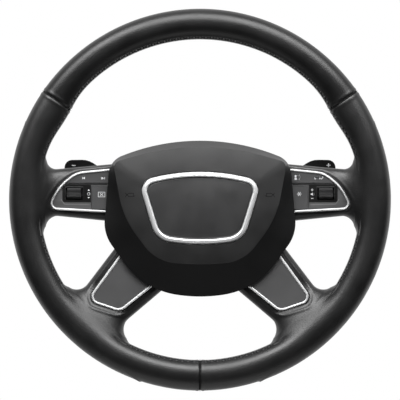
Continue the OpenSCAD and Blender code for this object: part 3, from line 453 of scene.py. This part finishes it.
# Each pair of arms: its turn, its root, then for its upper and its lower flank where it flares into the rim,
# its half width there, what it gains at the root, and the flare's radius
SIDE_ARM = (0.0, SIDE_IN, (RIM_IN - 15.5, SIDE_HI, 5.6, 9), (RIM_IN - 17.5, SIDE_LO, 6.2, 12))
LOWER_ARM = (LOWER, LOWER_IN, (RIM_IN - 19, LOWER_HI, 6.2, 13), (RIM_IN - 23.5, LOWER_LO, 5.6, 15))
ARM_POWER, ARM_POWER_DROP = 3.4, 1.35
# How far the arms' faces end below the rim's crown, and the floors of their pockets
RIM_STEP = 3.5
PANEL_FLOOR, TRIM_FLOOR = 50, FRONT - 5.5


def arm_distance(x, y, z, turn, root, upper, lower):
    """Distance from an arm that runs into the rim."""
    s = x * math.cos(turn) + y * math.sin(turn)
    w = -x * math.sin(turn) + y * math.cos(turn)
    begin, hi, hi_gain, hi_radius = upper
    low_begin, lo, lo_gain, lo_radius = lower
    off = np.maximum(0, (begin - s) / (begin - root))
    top = hi + hi_gain * off + flare(s - begin, hi_radius)
    low = lo + lo_gain * off + flare(s - low_begin, lo_radius)
    rise = smooth01((s - begin + 10) / (RIM_R - 6 - begin + 10))
    front = FRONT + (RIM_Z + RIM_DEPTH / 2 - RIM_STEP - FRONT) * rise
    back = BACK + (RIM_Z - RIM_DEPTH / 2 + RIM_STEP - BACK) * rise
    power = ARM_POWER - ARM_POWER_DROP * smooth01((s - begin + 20) / 38)
    across, deep = (top + low) / 2, (front - back) / 2
    d = super_distance(w - (top - low) / 2, z - (front + back) / 2, across, deep, power)
    return np.maximum(np.maximum(d, root - s), s - (RIM_R - 4))


STITCH_AT = math.radians(158)
stitch_u = -RIM_HALF * abs(math.cos(STITCH_AT)) ** (2 / RIM_POWER)
stitch_v = RIM_DEPTH / 2 * math.sin(STITCH_AT) ** (2 / RIM_POWER)


def flat_parts(x, y):
    """What the leather field needs at each place seen from the front."""
    ax = np.abs(x)
    rho = np.hypot(x, y)
    angle = np.degrees(np.arctan2(y, ax))
    c, s = math.cos(LOWER), math.sin(LOWER)
    side_seam = np.abs(rho * np.sin(np.radians(angle - SEAM))) + 1e3 * (rho < 120)
    low_seam = ax + 1e3 * (y > -120)
    return {
        "ax": ax, "y": y, "rho": rho, "angle": angle,
        "panel": polygon_distance(ax, y, panel_outline),
        "trim": polygon_distance(ax * c + y * s, -ax * s + y * c, trim_outline),
        "seam": np.minimum(side_seam, low_seam)}


def ridge(d, at, width):
    """A soft ridge along the places where d is at."""
    return np.exp(-((d - at) / width) ** 2)


def leather_field(f, z):
    """Distance from the leather's surface, negative inside."""
    u = f["rho"] - RIM_R
    half = RIM_HALF + thumb_swell(f["angle"]) * (u < 0)
    rim = super_distance(u, z - RIM_Z, half, RIM_DEPTH / 2, RIM_POWER)
    side = arm_distance(f["ax"], f["y"], z, *SIDE_ARM)
    lower = arm_distance(f["ax"], f["y"], z, *LOWER_ARM)
    d = blend_min(blend_min(rim, side, 5), lower, 5)
    # Pockets of the switch panel and of the lower trim, with rolled edges
    d = blend_max(d, -np.maximum(f["panel"] - 0.3, PANEL_FLOOR - z), 1.6)
    d = blend_max(d, -np.maximum(f["trim"] - 0.3, TRIM_FLOOR - z), 1.6)
    # Edge of the padding round both pockets, on the front only
    front = smooth01((z - PANEL_FLOOR) / 6)
    d = d - 0.55 * ridge(f["trim"], 4.6, 1.3) * front + 0.35 * ridge(f["trim"], 2.2, 0.9) * front
    d = d - 0.3 * ridge(f["panel"], 3.2, 1.2) * front
    # Seams between the three pieces, and the furrow of the stitching
    d = d + 0.95 * ridge(f["seam"], 0, 0.85) - 0.35 * ridge(f["seam"], 2.7, 1.5)
    line = np.hypot(u - stitch_u, z - RIM_Z - stitch_v)
    return d + 0.6 * ridge(line, 0, 1.5)


FIELD_LOW, FIELD_HIGH = np.array([-191.0, -191.0, 30.0]), np.array([191.0, 191.0, 82.0])


def leather_slope(p, e=0.05):
    """The leather field at some points, and its slope there."""
    flat = flat_parts(p[:, 0], p[:, 1])
    d = leather_field(flat, p[:, 2])
    along_x = leather_field(flat_parts(p[:, 0] + e, p[:, 1]), p[:, 2]) - d
    along_y = leather_field(flat_parts(p[:, 0], p[:, 1] + e), p[:, 2]) - d
    along_z = leather_field(flat, p[:, 2] + e) - d
    return d[:, None], np.stack([along_x, along_y, along_z], 1) / e


def leather_mesh(step):
    """Points and four-cornered faces of the leather's surface, on a grid of step mm."""
    n = np.ceil((FIELD_HIGH - FIELD_LOW) / step).astype(int) + 1
    xs, ys, zs = (FIELD_LOW[i] + step * np.arange(n[i]) for i in range(3))
    gx, gy = np.meshgrid(xs, ys, indexing="ij")
    flat = flat_parts(gx, gy)
    field = np.empty(tuple(n), np.float32)
    for k, z in enumerate(zs):
        field[:, :, k] = np.clip(leather_field(flat, np.full_like(gx, z)), -4 * step, 4 * step)
    grid = openvdb.FloatGrid(4 * step)
    grid.copyFromArray(field)
    grid.gridClass = openvdb.GridClass.LEVEL_SET
    points, quads = grid.convertToQuads(isovalue=0.0)
    p = FIELD_LOW + np.asarray(points, float) * step
    # The points settle on the exact surface
    for _ in range(3):
        d, slope = leather_slope(p)
        move = -d * slope / np.maximum((slope * slope).sum(1, keepdims=True), 0.09)
        size = np.linalg.norm(move, axis=1, keepdims=True)
        p = p + move * np.minimum(1, 0.7 * step / np.maximum(size, 1e-9))
    return p, np.asarray(quads)[:, ::-1]


def make_leather():
    """The field's surface, cut at the seams."""
    points, quads = leather_mesh(1.15)
    mid = points[quads].mean(1)
    rho = np.hypot(mid[:, 0], mid[:, 1])
    angle = np.arctan2(mid[:, 1], mid[:, 0])
    # The field's surface must face outwards
    v = points[quads[:, :3]]
    normal = np.cross(v[:, 1] - v[:, 0], v[:, 2] - v[:, 0])
    core = np.stack([RIM_R * np.cos(angle), RIM_R * np.sin(angle), np.full(len(mid), RIM_Z)], 1)
    outward = (normal * (mid - core)).sum(1)
    if outward[rho > RIM_R].sum() < 0:
        quads = quads[:, ::-1]
    turn = np.degrees(angle)
    upper = (turn > SEAM) & (turn < 180 - SEAM) & (rho > 120)
    left = mid[:, 0] < 0
    pieces = (("leather_top", upper, leather), ("leather_left", ~upper & left, side_leather),
              ("leather_right", ~upper & ~left, side_leather))
    for name, part, mat in pieces:
        used, index = np.unique(quads[part], return_inverse=True)
        add(name + "_skin", points[used], index.reshape(-1, 4), "wheel", mat, (name,))


make_leather()


# Cross stitches along the inner edge of the rim, and the closed seams across it

STITCHES, STITCH_R, STITCH_REACH = 172, 0.36, math.radians(9.5)
SEAM_R, SEAM_LIFT = 0.42, 0.12


def tube(path, r, ref=(0, 0, 1)):
    """A six-sided thread of radius r along a path that nowhere runs along ref."""
    path = np.asarray(path, float)
    tangent = np.gradient(path, axis=0)
    tangent /= np.linalg.norm(tangent, axis=1, keepdims=True)
    rings = []
    for p, t in zip(path, tangent):
        a = np.cross(t, ref)
        a /= np.linalg.norm(a)
        b = np.cross(t, a)
        corners = 2 * np.pi * np.arange(6)[:, None] / 6
        rings.append(p + r * (a * np.cos(corners) - b * np.sin(corners)))
    return rings_to_mesh(rings)


def side_turn(theta):
    """A turn round the wheel as degrees above the horizontal, the same on both sides."""
    return math.degrees(math.atan2(math.sin(theta), abs(math.cos(theta))))


def rim_point(theta, s_angle, lift):
    """A point on the rim's section, at angle theta round the wheel and s_angle round the section."""
    c, s = math.cos(s_angle), math.sin(s_angle)
    half = RIM_HALF + (thumb_swell(side_turn(theta)) if c < 0 else 0)
    u = (half + lift) * math.copysign(abs(c) ** (2 / RIM_POWER), c)
    w = (RIM_DEPTH / 2 + lift) * math.copysign(abs(s) ** (2 / RIM_POWER), s)
    return np.array([(RIM_R + u) * math.cos(theta), (RIM_R + u) * math.sin(theta), RIM_Z + w])


def in_arm(theta):
    """Whether an arm covers the rim's inner edge there."""
    return -12.5 < side_turn(theta) < 14.5 or -62 < side_turn(theta) < -32


def stitch(theta, flip):
    """One leg of a cross stitch, sunk in the leather at both ends."""
    half = math.pi / STITCHES * 0.86
    path = [rim_point(theta + flip * half * t, STITCH_AT + STITCH_REACH * t, -0.15 + 0.3 * (1 - t * t))
            for t in np.linspace(-1, 1, 7)]
    return tube(path, STITCH_R)


def seam(theta):
    """The closed seam across the rim at one turn."""
    path = [rim_point(theta, a, SEAM_LIFT) for a in np.linspace(0, 2 * np.pi, 49)]
    return tube(path, SEAM_R, ref=(-math.sin(theta), math.cos(theta), 0))


places = [2 * math.pi * (i + 0.5) / STITCHES for i in range(STITCHES)]
pts, faces = gathered([stitch(a, flip) for a in places if not in_arm(a) for flip in (-1, 1)])
add("rim_stitches", pts, faces, "wheel", thread)
pts, faces = gathered([seam(a) for a in np.radians([SEAM, 180 - SEAM, -90])])
add("rim_seams", pts, faces, "wheel", seam_black)


# Airbag cover

CENTRE = np.array([0.0, -18.0])
turns = np.linspace(0, 2 * np.pi, (288) + 1)[:-1] + np.pi / 2
cover_reach = reach(cover_outline, CENTRE, turns)
crease_reach = np.minimum(reach(crease_outline, CENTRE, turns), cover_reach - 2)
CREASE_Z = COVER_FRONT - COVER_CROWN
# The notches over the arms clear the bright strips when the horn is pressed
STRIP_RISE, HORN_TRAVEL, NOTCH_GAP = 1.2, 1.2, 1.4
NOTCH_Z = FRONT + STRIP_RISE + HORN_TRAVEL + NOTCH_GAP
KNEE = (CREASE_Z - NOTCH_Z - 0.4) / (CREASE_Z - COVER_BACK)


def crease_at(offset):
    """Distance from the cover's middle to its crease, towards a point that lies offset from the middle."""
    turn = (np.arctan2(offset[1], offset[0]) - np.pi / 2) % (2 * np.pi)
    return np.interp(turn, np.r_[turns - np.pi / 2, 2 * np.pi], np.r_[crease_reach, crease_reach[0]])


def crown(f):
    """Height of the crowned face at share f of the way from its middle to the crease."""
    return COVER_FRONT - COVER_CROWN * f ** CROWN_POWER


def cover_rings(t):
    """Rings of the cover's surface from its edge to its middle, moved in by t."""
    level = np.ones(len(turns))
    rows = [(cover_reach - t - 0.8, COVER_BACK * level)]
    for u in np.r_[2.2 * KNEE, 1.5 * KNEE, KNEE * np.linspace(1, 0, 26) ** 1.3]:
        share = 1 - (1 - min(1, u / KNEE)) ** 0.95
        z = CREASE_Z - (CREASE_Z - COVER_BACK) * u - t * (1 - share)
        rows.append((crease_reach * (1 - share) + cover_reach * share - t, z * level))
    for f in np.linspace(1, 0.02, 36)[1:]:
        rows.append((np.maximum(0.5, crease_reach * f - t * f), (crown(f) - t) * level))
    return [np.stack([CENTRE[0] + r * np.cos(turns), CENTRE[1] + r * np.sin(turns), z], 1) for r, z in rows]


def shell_mesh(outer, inner):
    """A closed shell from the rings of its outer and its inner surface."""
    n, m = len(outer[0]), len(outer)
    faces = []
    for i in range(m - 1):
        for k in range(n):
            q = (k + 1) % n
            faces.append((i * n + k, i * n + q, (i + 1) * n + q, (i + 1) * n + k))
            faces.append(((m + i) * n + q, (m + i) * n + k, (m + i + 1) * n + k, (m + i + 1) * n + q))
    for k in range(n):
        q = (k + 1) % n
        faces.append((q, k, m * n + k, m * n + q))
    faces.append(tuple((m - 1) * n + k for k in range(n)))
    faces.append(tuple((2 * m - 1) * n + k for k in range(n - 1, -1, -1)))
    return np.vstack(outer + inner), faces


pts, faces = shell_mesh(cover_rings(0.0), cover_rings(COVER_T))
cover = add("cover_skin", pts, faces, "airbag_module", cover_skin, ("airbag_cover",))


def cutter(name, outline, z0, z1, mirror=False):
    """A solid between two heights, to cut with."""
    p = np.asarray(outline, float)
    rings = [np.c_[p, np.full(len(p), z)] for z in (z0, z1)]
    points, faces = rings_to_mesh(rings)
    if mirror:
        points[:, 0] *= -1
    mesh = bpy.data.meshes.new(name)
    mesh.from_pydata(world(points).tolist(), [], faces)
    bm = bmesh.new()
    bm.from_mesh(mesh)
    bmesh.ops.recalc_face_normals(bm, faces=bm.faces)
    bm.to_mesh(mesh)
    bm.free()
    return linked(name, mesh)


def carve(obj, cutters):
    """Cuts solids out of a piece, and removes the solids."""
    for c in cutters:
        mod = obj.modifiers.new("cut", "BOOLEAN")
        mod.operation = "DIFFERENCE"
        mod.solver = "EXACT"
        mod.object = c
    bpy.context.view_layer.update()
    deps = bpy.context.evaluated_depsgraph_get()
    fresh = bpy.data.meshes.new_from_object(obj.evaluated_get(deps))
    obj.modifiers.clear()
    obj.data = fresh
    for c in cutters:
        bpy.data.objects.remove(c)


def turned_points(points, turn):
    """Flat points turned round the wheel's axis."""
    p = np.asarray(points, float)
    c, s = math.cos(turn), math.sin(turn)
    return np.stack([p[:, 0] * c - p[:, 1] * s, p[:, 0] * s + p[:, 1] * c], 1)


def notch_box(arm, margin):
    """A notch over an arm, 2 mm wider on each side than the arm's root."""
    turn, root, upper, lower = arm
    top, low = upper[1] + upper[2] + 2, -lower[1] - lower[2] - 2
    return turned_points([[root - margin, top], [RIM_IN, top], [RIM_IN, low], [root - margin, low]], turn)


side_notch, lower_notch = notch_box(SIDE_ARM, 6), notch_box(LOWER_ARM, 5)
ring_seat = crown(0.62) - 2.2
cuts = [cutter("notch", outline, 20, NOTCH_Z, mirror)
        for outline in (side_notch, lower_notch) for mirror in (False, True)]
cuts.append(cutter("seat", inset(ring_outline, -0.6), ring_seat - 3.5, COVER_FRONT + 5))
carve(cover, cuts)
sharpen(cover, 30)
# Painted shade: the walls round the crowned face that don't look up get a copy of the cover's skin with less
# sheen, so that they render darker
cover.data.materials.append(cover_wall_painted_shade)
for face in cover.data.polygons:
    offset = np.array([face.center.x, face.center.z]) * 1000 - CENTRE
    if np.linalg.norm(offset) > crease_at(offset) and face.normal.z < 0.3:
        face.material_index = 1


# Bright ring and the plain field inside it

RING_W = 5.0
FIELD_MID = np.array([0.0, -6.0])


def make_ring():
    """The bright ring, with a sloped inner and a rounded outer side."""
    z = ring_seat
    section = round_section([
        [0, z, 0], [0, z + 0.9, 0.4], [1.5, z + 2.6, 2.2], [3.6, z + 3.4, 1.2], [RING_W - 0.4, z + 2.7, 0.8],
        [RING_W, z + 1.8, 0.3], [RING_W, z, 0]], 0.5)
    pts, faces = strip_mesh(resample(ring_outline, 1.2), section, True)
    sharpen(add("ring", pts, faces, "airbag_module", chrome, ("chrome_ring",)), 40)


def make_field():
    """A plate that is crowned from top to bottom and has a small bevel."""
    spokes = resample(inset(ring_outline, RING_W + 0.45), 1.5) - FIELD_MID
    rings = [np.c_[FIELD_MID + spokes, np.full(len(spokes), ring_seat)]]
    for f in (1.0, 0.985, 0.96, 0.9, 0.8, 0.66, 0.5, 0.32, 0.14, 0.01):
        spot = FIELD_MID + spokes * f
        bevel = 0.35 if f == 1.0 else 0
        z = ring_seat + 2.2 - 0.3 * f ** 3 - bevel - 1.5 * ((spot[:, 1] - FIELD_MID[1]) / 34) ** 2
        rings.append(np.c_[spot, z])
    pts, faces = rings_to_mesh(rings)
    faces = [tuple(reversed(f)) for f in faces]
    sharpen(add("field", pts, faces, "airbag_module", satin_panel, ("badge_field",)), 50)


make_ring()
make_field()


# Bright strips of the switch panels and of the lower trims


def open_path(outline, root, hi, lo):
    """The part of an outline beyond its straight root, from its upper to its lower corner."""
    beyond = resample(outline[outline[:, 0] > root + 0.01], 0.6, False)
    return np.vstack([[root, hi], beyond, [root, -lo]])


def bead(width, shoulder, foot, edge, rise):
    """A strip's section, with its foot and the edge of its rounded top at those heights."""
    x0, x1 = 0.05, 0.05 + width
    return round_section([
        [x0, foot, 0], [x0, edge, 0.3], [x0 + shoulder, edge + rise, 0.7],
        [x1 - shoulder, edge + rise + 0.1, 0.7], [x1, edge + rise - 0.8, 0.3], [x1, foot, 0]], 0.35)


STRIP_BEAD = bead(2.2, 0.65, FASCIA - 3, 60.2, 0.9)
TRIM_BEAD = bead(2.5, 0.75, 54, 60.3, 1.0)
for side, mirror in SIDES:
    path = open_path(panel_outline, PANEL_IN, PANEL_HI, PANEL_LO)
    pts, faces = strip_mesh(path, STRIP_BEAD, False)
    strip = add(f"strip_{side}", pts, faces, "wheel", chrome, (f"switch_strip_{side}",), mirror)
    sharpen(strip, 50)
    path = open_path(trim_outline, TRIM_IN, TRIM_HI, TRIM_LO)
    pts, faces = strip_mesh(path, TRIM_BEAD, False)
    pts[:, :2] = turned_points(pts[:, :2], LOWER)
    trim = add(f"trim_{side}", pts, faces, "wheel", chrome, (f"spoke_trim_{side}",), mirror)
    sharpen(trim, 50)


# The rest keeps the CAD forms, with rounded edges

for side, _ in SIDES:
    refined(f"switch_housing_{side}", "wheel", recess_skin, 0.3)
    refined(f"rocker_{side}", f"rocker_{side}", switch_skin, 0.45)
    refined(f"mode_button_{side}", f"mode_button_{side}", switch_skin, 0.5, 3)
    refined(f"roller_{side}", f"roller_{side}", rubber, 0.12, 1)
    refined(f"spoke_insert_{side}", "wheel", satin_insert, 0.4)
    refined(f"paddle_{side}", f"paddle_{side}", rear_skin, 0.9, 3)
refined("rear_cover", "wheel", rear_skin, 0.5, 2, 35)


# Printed signs, as thin inlays in the faces that carry them


def bar(x0, y0, x1, y1):
    return [(x0, y0), (x1, y0), (x1, y1), (x0, y1)]


def disc(x, y, r, n=20):
    return [(x + r * math.cos(2 * math.pi * k / n), y + r * math.sin(2 * math.pi * k / n)) for k in range(n)]


def stroke(points, w, closed=False):
    """A line of width w as one four-cornered shape for each of its stretches."""
    p = [np.array(q, float) for q in points]
    out = []
    for i in range(len(p) if closed else len(p) - 1):
        a, b = p[i], p[(i + 1) % len(p)]
        t = (b - a) / np.linalg.norm(b - a)
        n = np.array([-t[1], t[0]]) * w / 2
        a, b = a - t * w * 0.3, b + t * w * 0.3
        out.append([tuple(q) for q in (a - n, b - n, b + n, a + n)])
    return out


def arc(x, y, r, a0, a1, n=10):
    angles = np.radians(a0 + (a1 - a0) * np.arange(n + 1) / n)
    return [(x + r * math.cos(a), y + r * math.sin(a)) for a in angles]


def placed(shapes, x, y, k=1):
    """Shapes drawn round the origin, moved to their place. With k of -1 they face the other way."""
    return [[(x + k * px, y + py) for px, py in shape] for shape in shapes]


def inlay(name, body, shapes, z, mat=print_white):
    """Flat shapes as a layer that stands 0.04 mm over the height z."""
    pts, faces = [], []
    for shape in shapes:
        area = sum(x0 * y1 - x1 * y0 for (x0, y0), (x1, y1) in zip(shape, shape[1:] + shape[:1]))
        ring = list(shape) if area > 0 else list(reversed(shape))
        n, base = len(ring), len(pts)
        pts += [(x, y, z - 0.05) for x, y in ring] + [(x, y, z + 0.04) for x, y in ring]
        faces += [(base + k, base + (k + 1) % n, base + n + (k + 1) % n, base + n + k) for k in range(n)]
        faces += [tuple(base + n + k for k in range(n)), tuple(base + n - 1 - k for k in range(n))]
    return add(name, pts, faces, body, mat, smooth=False)


ROCKER_FACE, BUTTON_FACE, PADDLE_FACE = FASCIA + 0.8, FASCIA + 1.0, 26.0
PRINT_FACE = FASCIA + 0.05


def arrow(w, h=2.4):
    return [(-w / 2, 0), (w / 2, -h / 2), (w / 2, h / 2)]


BACK_SIGN = [arrow(2.0), bar(-1.4, -1.1, -0.9, 1.1)]
NEXT_SIGN = [arrow(2.2), bar(1.3, -1.1, 1.8, 1.1), bar(-1.9, -1.1, -1.4, 1.1)]
LIST_SIGN = [[(-1.1, 3.1), (1.1, 3.1), (0, 4.7)], [(-1.1, -3.1), (0, -4.7), (1.1, -3.1)],
             *stroke(arc(0, 0, 1.3, 0, 330), 0.5)]
FRAME_SIGN = [*stroke([(-3.25, -2.3), (3.25, -2.3), (3.25, 2.3), (-3.25, 2.3)], 0.5, True),
              *stroke([(-1.45, -1.1), (1.45, 1.1)], 0.55), *stroke([(1.45, -1.1), (-1.45, 1.1)], 0.55)]
VOICE_SIGN = [disc(0, 1.2, 1.1), bar(-1.0, -2.4, 1.0, -0.2), *stroke(arc(0.2, 0, 2.6, -38, 38), 0.6),
              *stroke(arc(0.2, 0, 4.0, -34, 34), 0.6)]
CALL_SIGN = [*stroke(arc(0, 0, 2.9, 35, 145), 1.0), bar(-3.0, 0.6, -1.6, 2.2), bar(1.6, 0.6, 3.0, 2.2),
             *stroke([(4.0, 0.6), (5.6, 2.8)], 0.6)]
STAR_SIGN = [*stroke([(-2.1, 0), (2.1, 0)], 0.6), *stroke([(-1.05, -1.8), (1.05, 1.8)], 0.6),
             *stroke([(1.05, -1.8), (-1.05, 1.8)], 0.6)]
VOLUME_SIGN = [bar(-1.2, 3.9, 1.2, 4.4), bar(-0.25, 2.9, 0.25, 5.4), bar(-1.1, -4.4, 1.3, -3.9),
               [(-1.5, -0.5), (-0.6, -0.5), (0.6, -1.5), (0.6, 1.5), (-0.6, 0.5), (-1.5, 0.5)],
               *stroke(arc(0.3, 0, 1.8, -40, 40), 0.45)]
inlay("sign_back", "rocker_left", placed(BACK_SIGN, -114.2, 21.3), ROCKER_FACE)
inlay("sign_next", "rocker_left", placed(NEXT_SIGN, -95.4, 21.1, -1), ROCKER_FACE)
inlay("sign_list", "wheel", placed(LIST_SIGN, -109.5, 5.7), PRINT_FACE)
inlay("sign_frame", "mode_button_left", placed(FRAME_SIGN, -96.75, 5.1), BUTTON_FACE)
inlay("sign_voice", "rocker_right", placed(VOICE_SIGN, 94.0, 22.0), ROCKER_FACE)
inlay("sign_call", "rocker_right", placed(CALL_SIGN, 115.4, 19.6), ROCKER_FACE)
inlay("sign_star", "mode_button_right", placed(STAR_SIGN, 97.6, 5.6), BUTTON_FACE)
inlay("sign_volume", "wheel", placed(VOLUME_SIGN, 110.3, 5.5), PRINT_FACE)


# Black field round each roller, and under it a painted highlight: a light grey line along the ledge's edge

# The roller's window, and the field round it, each as left, right, low and high
WINDOW = (114.9, 132.5, -0.3, 12.9)
FIELD = (107.2, 135.4, -2.6, 15.2)


def roller_field():
    x0, x1, y0, y1 = WINDOW
    fx0, fx1, fy0, fy1 = FIELD
    outer_end = rounded([[x1, fy0, 0], [fx1, fy0, 2], [fx1, fy1 - 3, 2.5], [x1, fy1, 1]], 8)
    under_rocker = bar(91.5, fy1 - 0.7, fx0, fy1)
    return [bar(fx0, fy0, x0, fy1), outer_end, bar(x0, y1, x1, fy1), bar(x0, fy0, x1, y0), under_rocker]


# Painted highlight along the edge of the ledge under the roller
LEDGE_HIGHLIGHT = stroke([(108.6, -5.0), (133.2, -4.4), (136.6, 0.2)], 0.7)
for side, mirror in SIDES:
    k = -1 if mirror else 1
    inlay(f"roller_field_{side}", "wheel", placed(roller_field(), 0, 0, k), FASCIA, mat=pocket_black)
    inlay(f"ledge_{side}", "wheel", placed(LEDGE_HIGHLIGHT, 0, 0, k), FASCIA, mat=ledge_painted_highlight)


# Horn pictures pressed into the cover, drawn as dark inlays that are painted shade for their relief, and the
# signs of the paddles


def dome_height(x, y):
    """Height of the cover's crowned face."""
    offset = np.array([x, y]) - CENTRE
    return crown(np.linalg.norm(offset) / crease_at(offset))


BELL = [(63.4, 3.9), (65.6, 3.0), (69.4, 3.0), (71.4, 5.0)]
TUBE = [(71.4, 5.0), (69.2, 6.2), (64.8, 6.2), (65.2, 3.0)]
MOUTH = [(72.8, 6.4), (71.4, 5.0), (72.8, 2.6)]
HORN_LINES = stroke(BELL, 0.55) + stroke(TUBE, 0.55) + stroke(MOUTH, 0.5)
# Painted shade: the horn pictures' pressed lines are drawn in the seams' black, laid on the crowned face
for side, k in (("right", 1), ("left", -1)):
    shapes = placed(HORN_LINES, 0, 0, k)
    sign = inlay(f"horn_relief_shade_{side}", "airbag_module", shapes, 0.0, seam_black)
    for v in sign.data.vertices:
        v.co.y -= (dome_height(v.co.x * 1000, v.co.z * 1000) + 0.03) / 1000
MINUS, PLUS = (-126.0, 34.2), (128.3, 34.4)
inlay("sign_minus", "paddle_left", placed([bar(-1.9, -0.4, 1.9, 0.4)], *MINUS), PADDLE_FACE)
inlay("sign_plus", "paddle_right", placed([bar(-1.9, -0.4, 1.9, 0.4), bar(-0.4, -1.9, 0.4, 1.9)], *PLUS),
      PADDLE_FACE)


# Stage, light and camera

FLOOR_Z, FLOOR_HALF = -0.95, 1.5
FADE_FROM, FADE_TO = 0.3, 1.4


def make_floor():
    """A pale floor that fades into the white surroundings, so that it has no edge."""
    mesh = bpy.data.meshes.new("floor")
    bm = bmesh.new()
    bmesh.ops.create_grid(bm, x_segments=4, y_segments=4, size=FLOOR_HALF)
    bm.to_mesh(mesh)
    bm.free()
    mat = material("floor", (0.6, 0.6, 0.6), 0.8, grain=0.05, cell=2, bump=0.1, kind="noise", tone=0.02)
    mesh.materials.append(mat)
    tree = mat.node_tree
    surface = next(n for n in tree.nodes if n.bl_idname == "ShaderNodeBsdfPrincipled")
    place = wired(tree, "ShaderNodeTexCoord", {})
    far = wired(tree, "ShaderNodeVectorMath", {0: place.outputs["Object"]}, operation="LENGTH")
    fade = mapped(tree, far.outputs["Value"], FADE_FROM, FADE_TO, 0, 1, interpolation_type="SMOOTHSTEP")
    clear = wired(tree, "ShaderNodeBsdfTransparent", {})
    blend = wired(tree, "ShaderNodeMixShader", {0: fade, 1: surface.outputs[0], 2: clear.outputs[0]})
    shown = next(n for n in tree.nodes if n.bl_idname == "ShaderNodeOutputMaterial")
    tree.links.new(blend.outputs[0], shown.inputs[0])
    floor = linked("floor", mesh)
    floor.location = (0, -0.05, FLOOR_Z)


def lamp(name, at, size, size_y, power):
    """A soft box that points at the wheel."""
    data = bpy.data.lights.new(name, "AREA")
    data.shape = "RECTANGLE"
    data.size = size
    data.size_y = size_y
    data.energy = power
    obj = linked(name, data)
    obj.location = at
    obj.rotation_mode = "QUATERNION"
    obj.rotation_quaternion = (-Vector(at)).to_track_quat("-Z", "Y")


def make_world():
    """A white backdrop behind the wheel, and in front a dim room that is brighter above."""
    surroundings = bpy.data.worlds.new("surroundings")
    bpy.context.scene.world = surroundings
    surroundings.use_nodes = True
    tree = surroundings.node_tree
    tree.nodes.clear()
    toward = wired(tree, "ShaderNodeTexCoord", {}).outputs["Generated"]
    split = wired(tree, "ShaderNodeSeparateXYZ", {0: toward})
    room = mapped(tree, split.outputs["Z"], -0.1, 0.85, 0.006, 0.5, interpolation_type="SMOOTHSTEP")
    wide = wired(tree, "ShaderNodeMath", {0: split.outputs["X"], 1: 2}, operation="POWER")
    lit = wired(tree, "ShaderNodeMath", {0: wide.outputs[0], 1: 0.04, 2: room}, operation="MULTIPLY_ADD")
    behind = mapped(tree, split.outputs["Y"], 0, 0.5, 0, 1, interpolation_type="SMOOTHSTEP")
    # Rays that see the backdrop: those of the camera, and the glossy ones that look back
    rays = wired(tree, "ShaderNodeLightPath", {}).outputs
    shown = wired(tree, "ShaderNodeMath", {0: rays["Is Camera Ray"], 1: rays["Is Transmission Ray"]},
                  operation="MAXIMUM")
    glossy = wired(tree, "ShaderNodeMath", {0: rays["Is Glossy Ray"], 1: behind}, operation="MULTIPLY")
    white = wired(tree, "ShaderNodeMath", {0: shown.outputs[0], 1: glossy.outputs[0]}, operation="MAXIMUM")
    backdrop = wired(tree, "ShaderNodeMix", {0: behind, 2: lit.outputs[0], 3: 0.4})
    mix = wired(tree, "ShaderNodeMix", {0: white.outputs[0], 2: backdrop.outputs[0], 3: 1})
    background = wired(tree, "ShaderNodeBackground", {"Color": mix.outputs[0], "Strength": 1})
    wired(tree, "ShaderNodeOutputWorld", {0: background.outputs[0]})


def make_camera():
    data = bpy.data.cameras.new("camera")
    data.lens = 200
    data.sensor_width = 36
    camera = linked("camera", data)
    camera.location = (0, -2.245, -0.0003)
    camera.rotation_euler = (math.pi / 2, 0, 0)
    bpy.context.scene.camera = camera
    bpy.context.scene.view_settings.view_transform = "Standard"


make_floor()
lamp("key", (0.0, -0.75, 0.98), 1.6, 0.75, 29)
for name, side in (("left", -1), ("right", 1)):
    lamp(name, (side * 1.0, -0.9, 1.15), 0.7, 0.8, 7.5)
make_world()
make_camera()
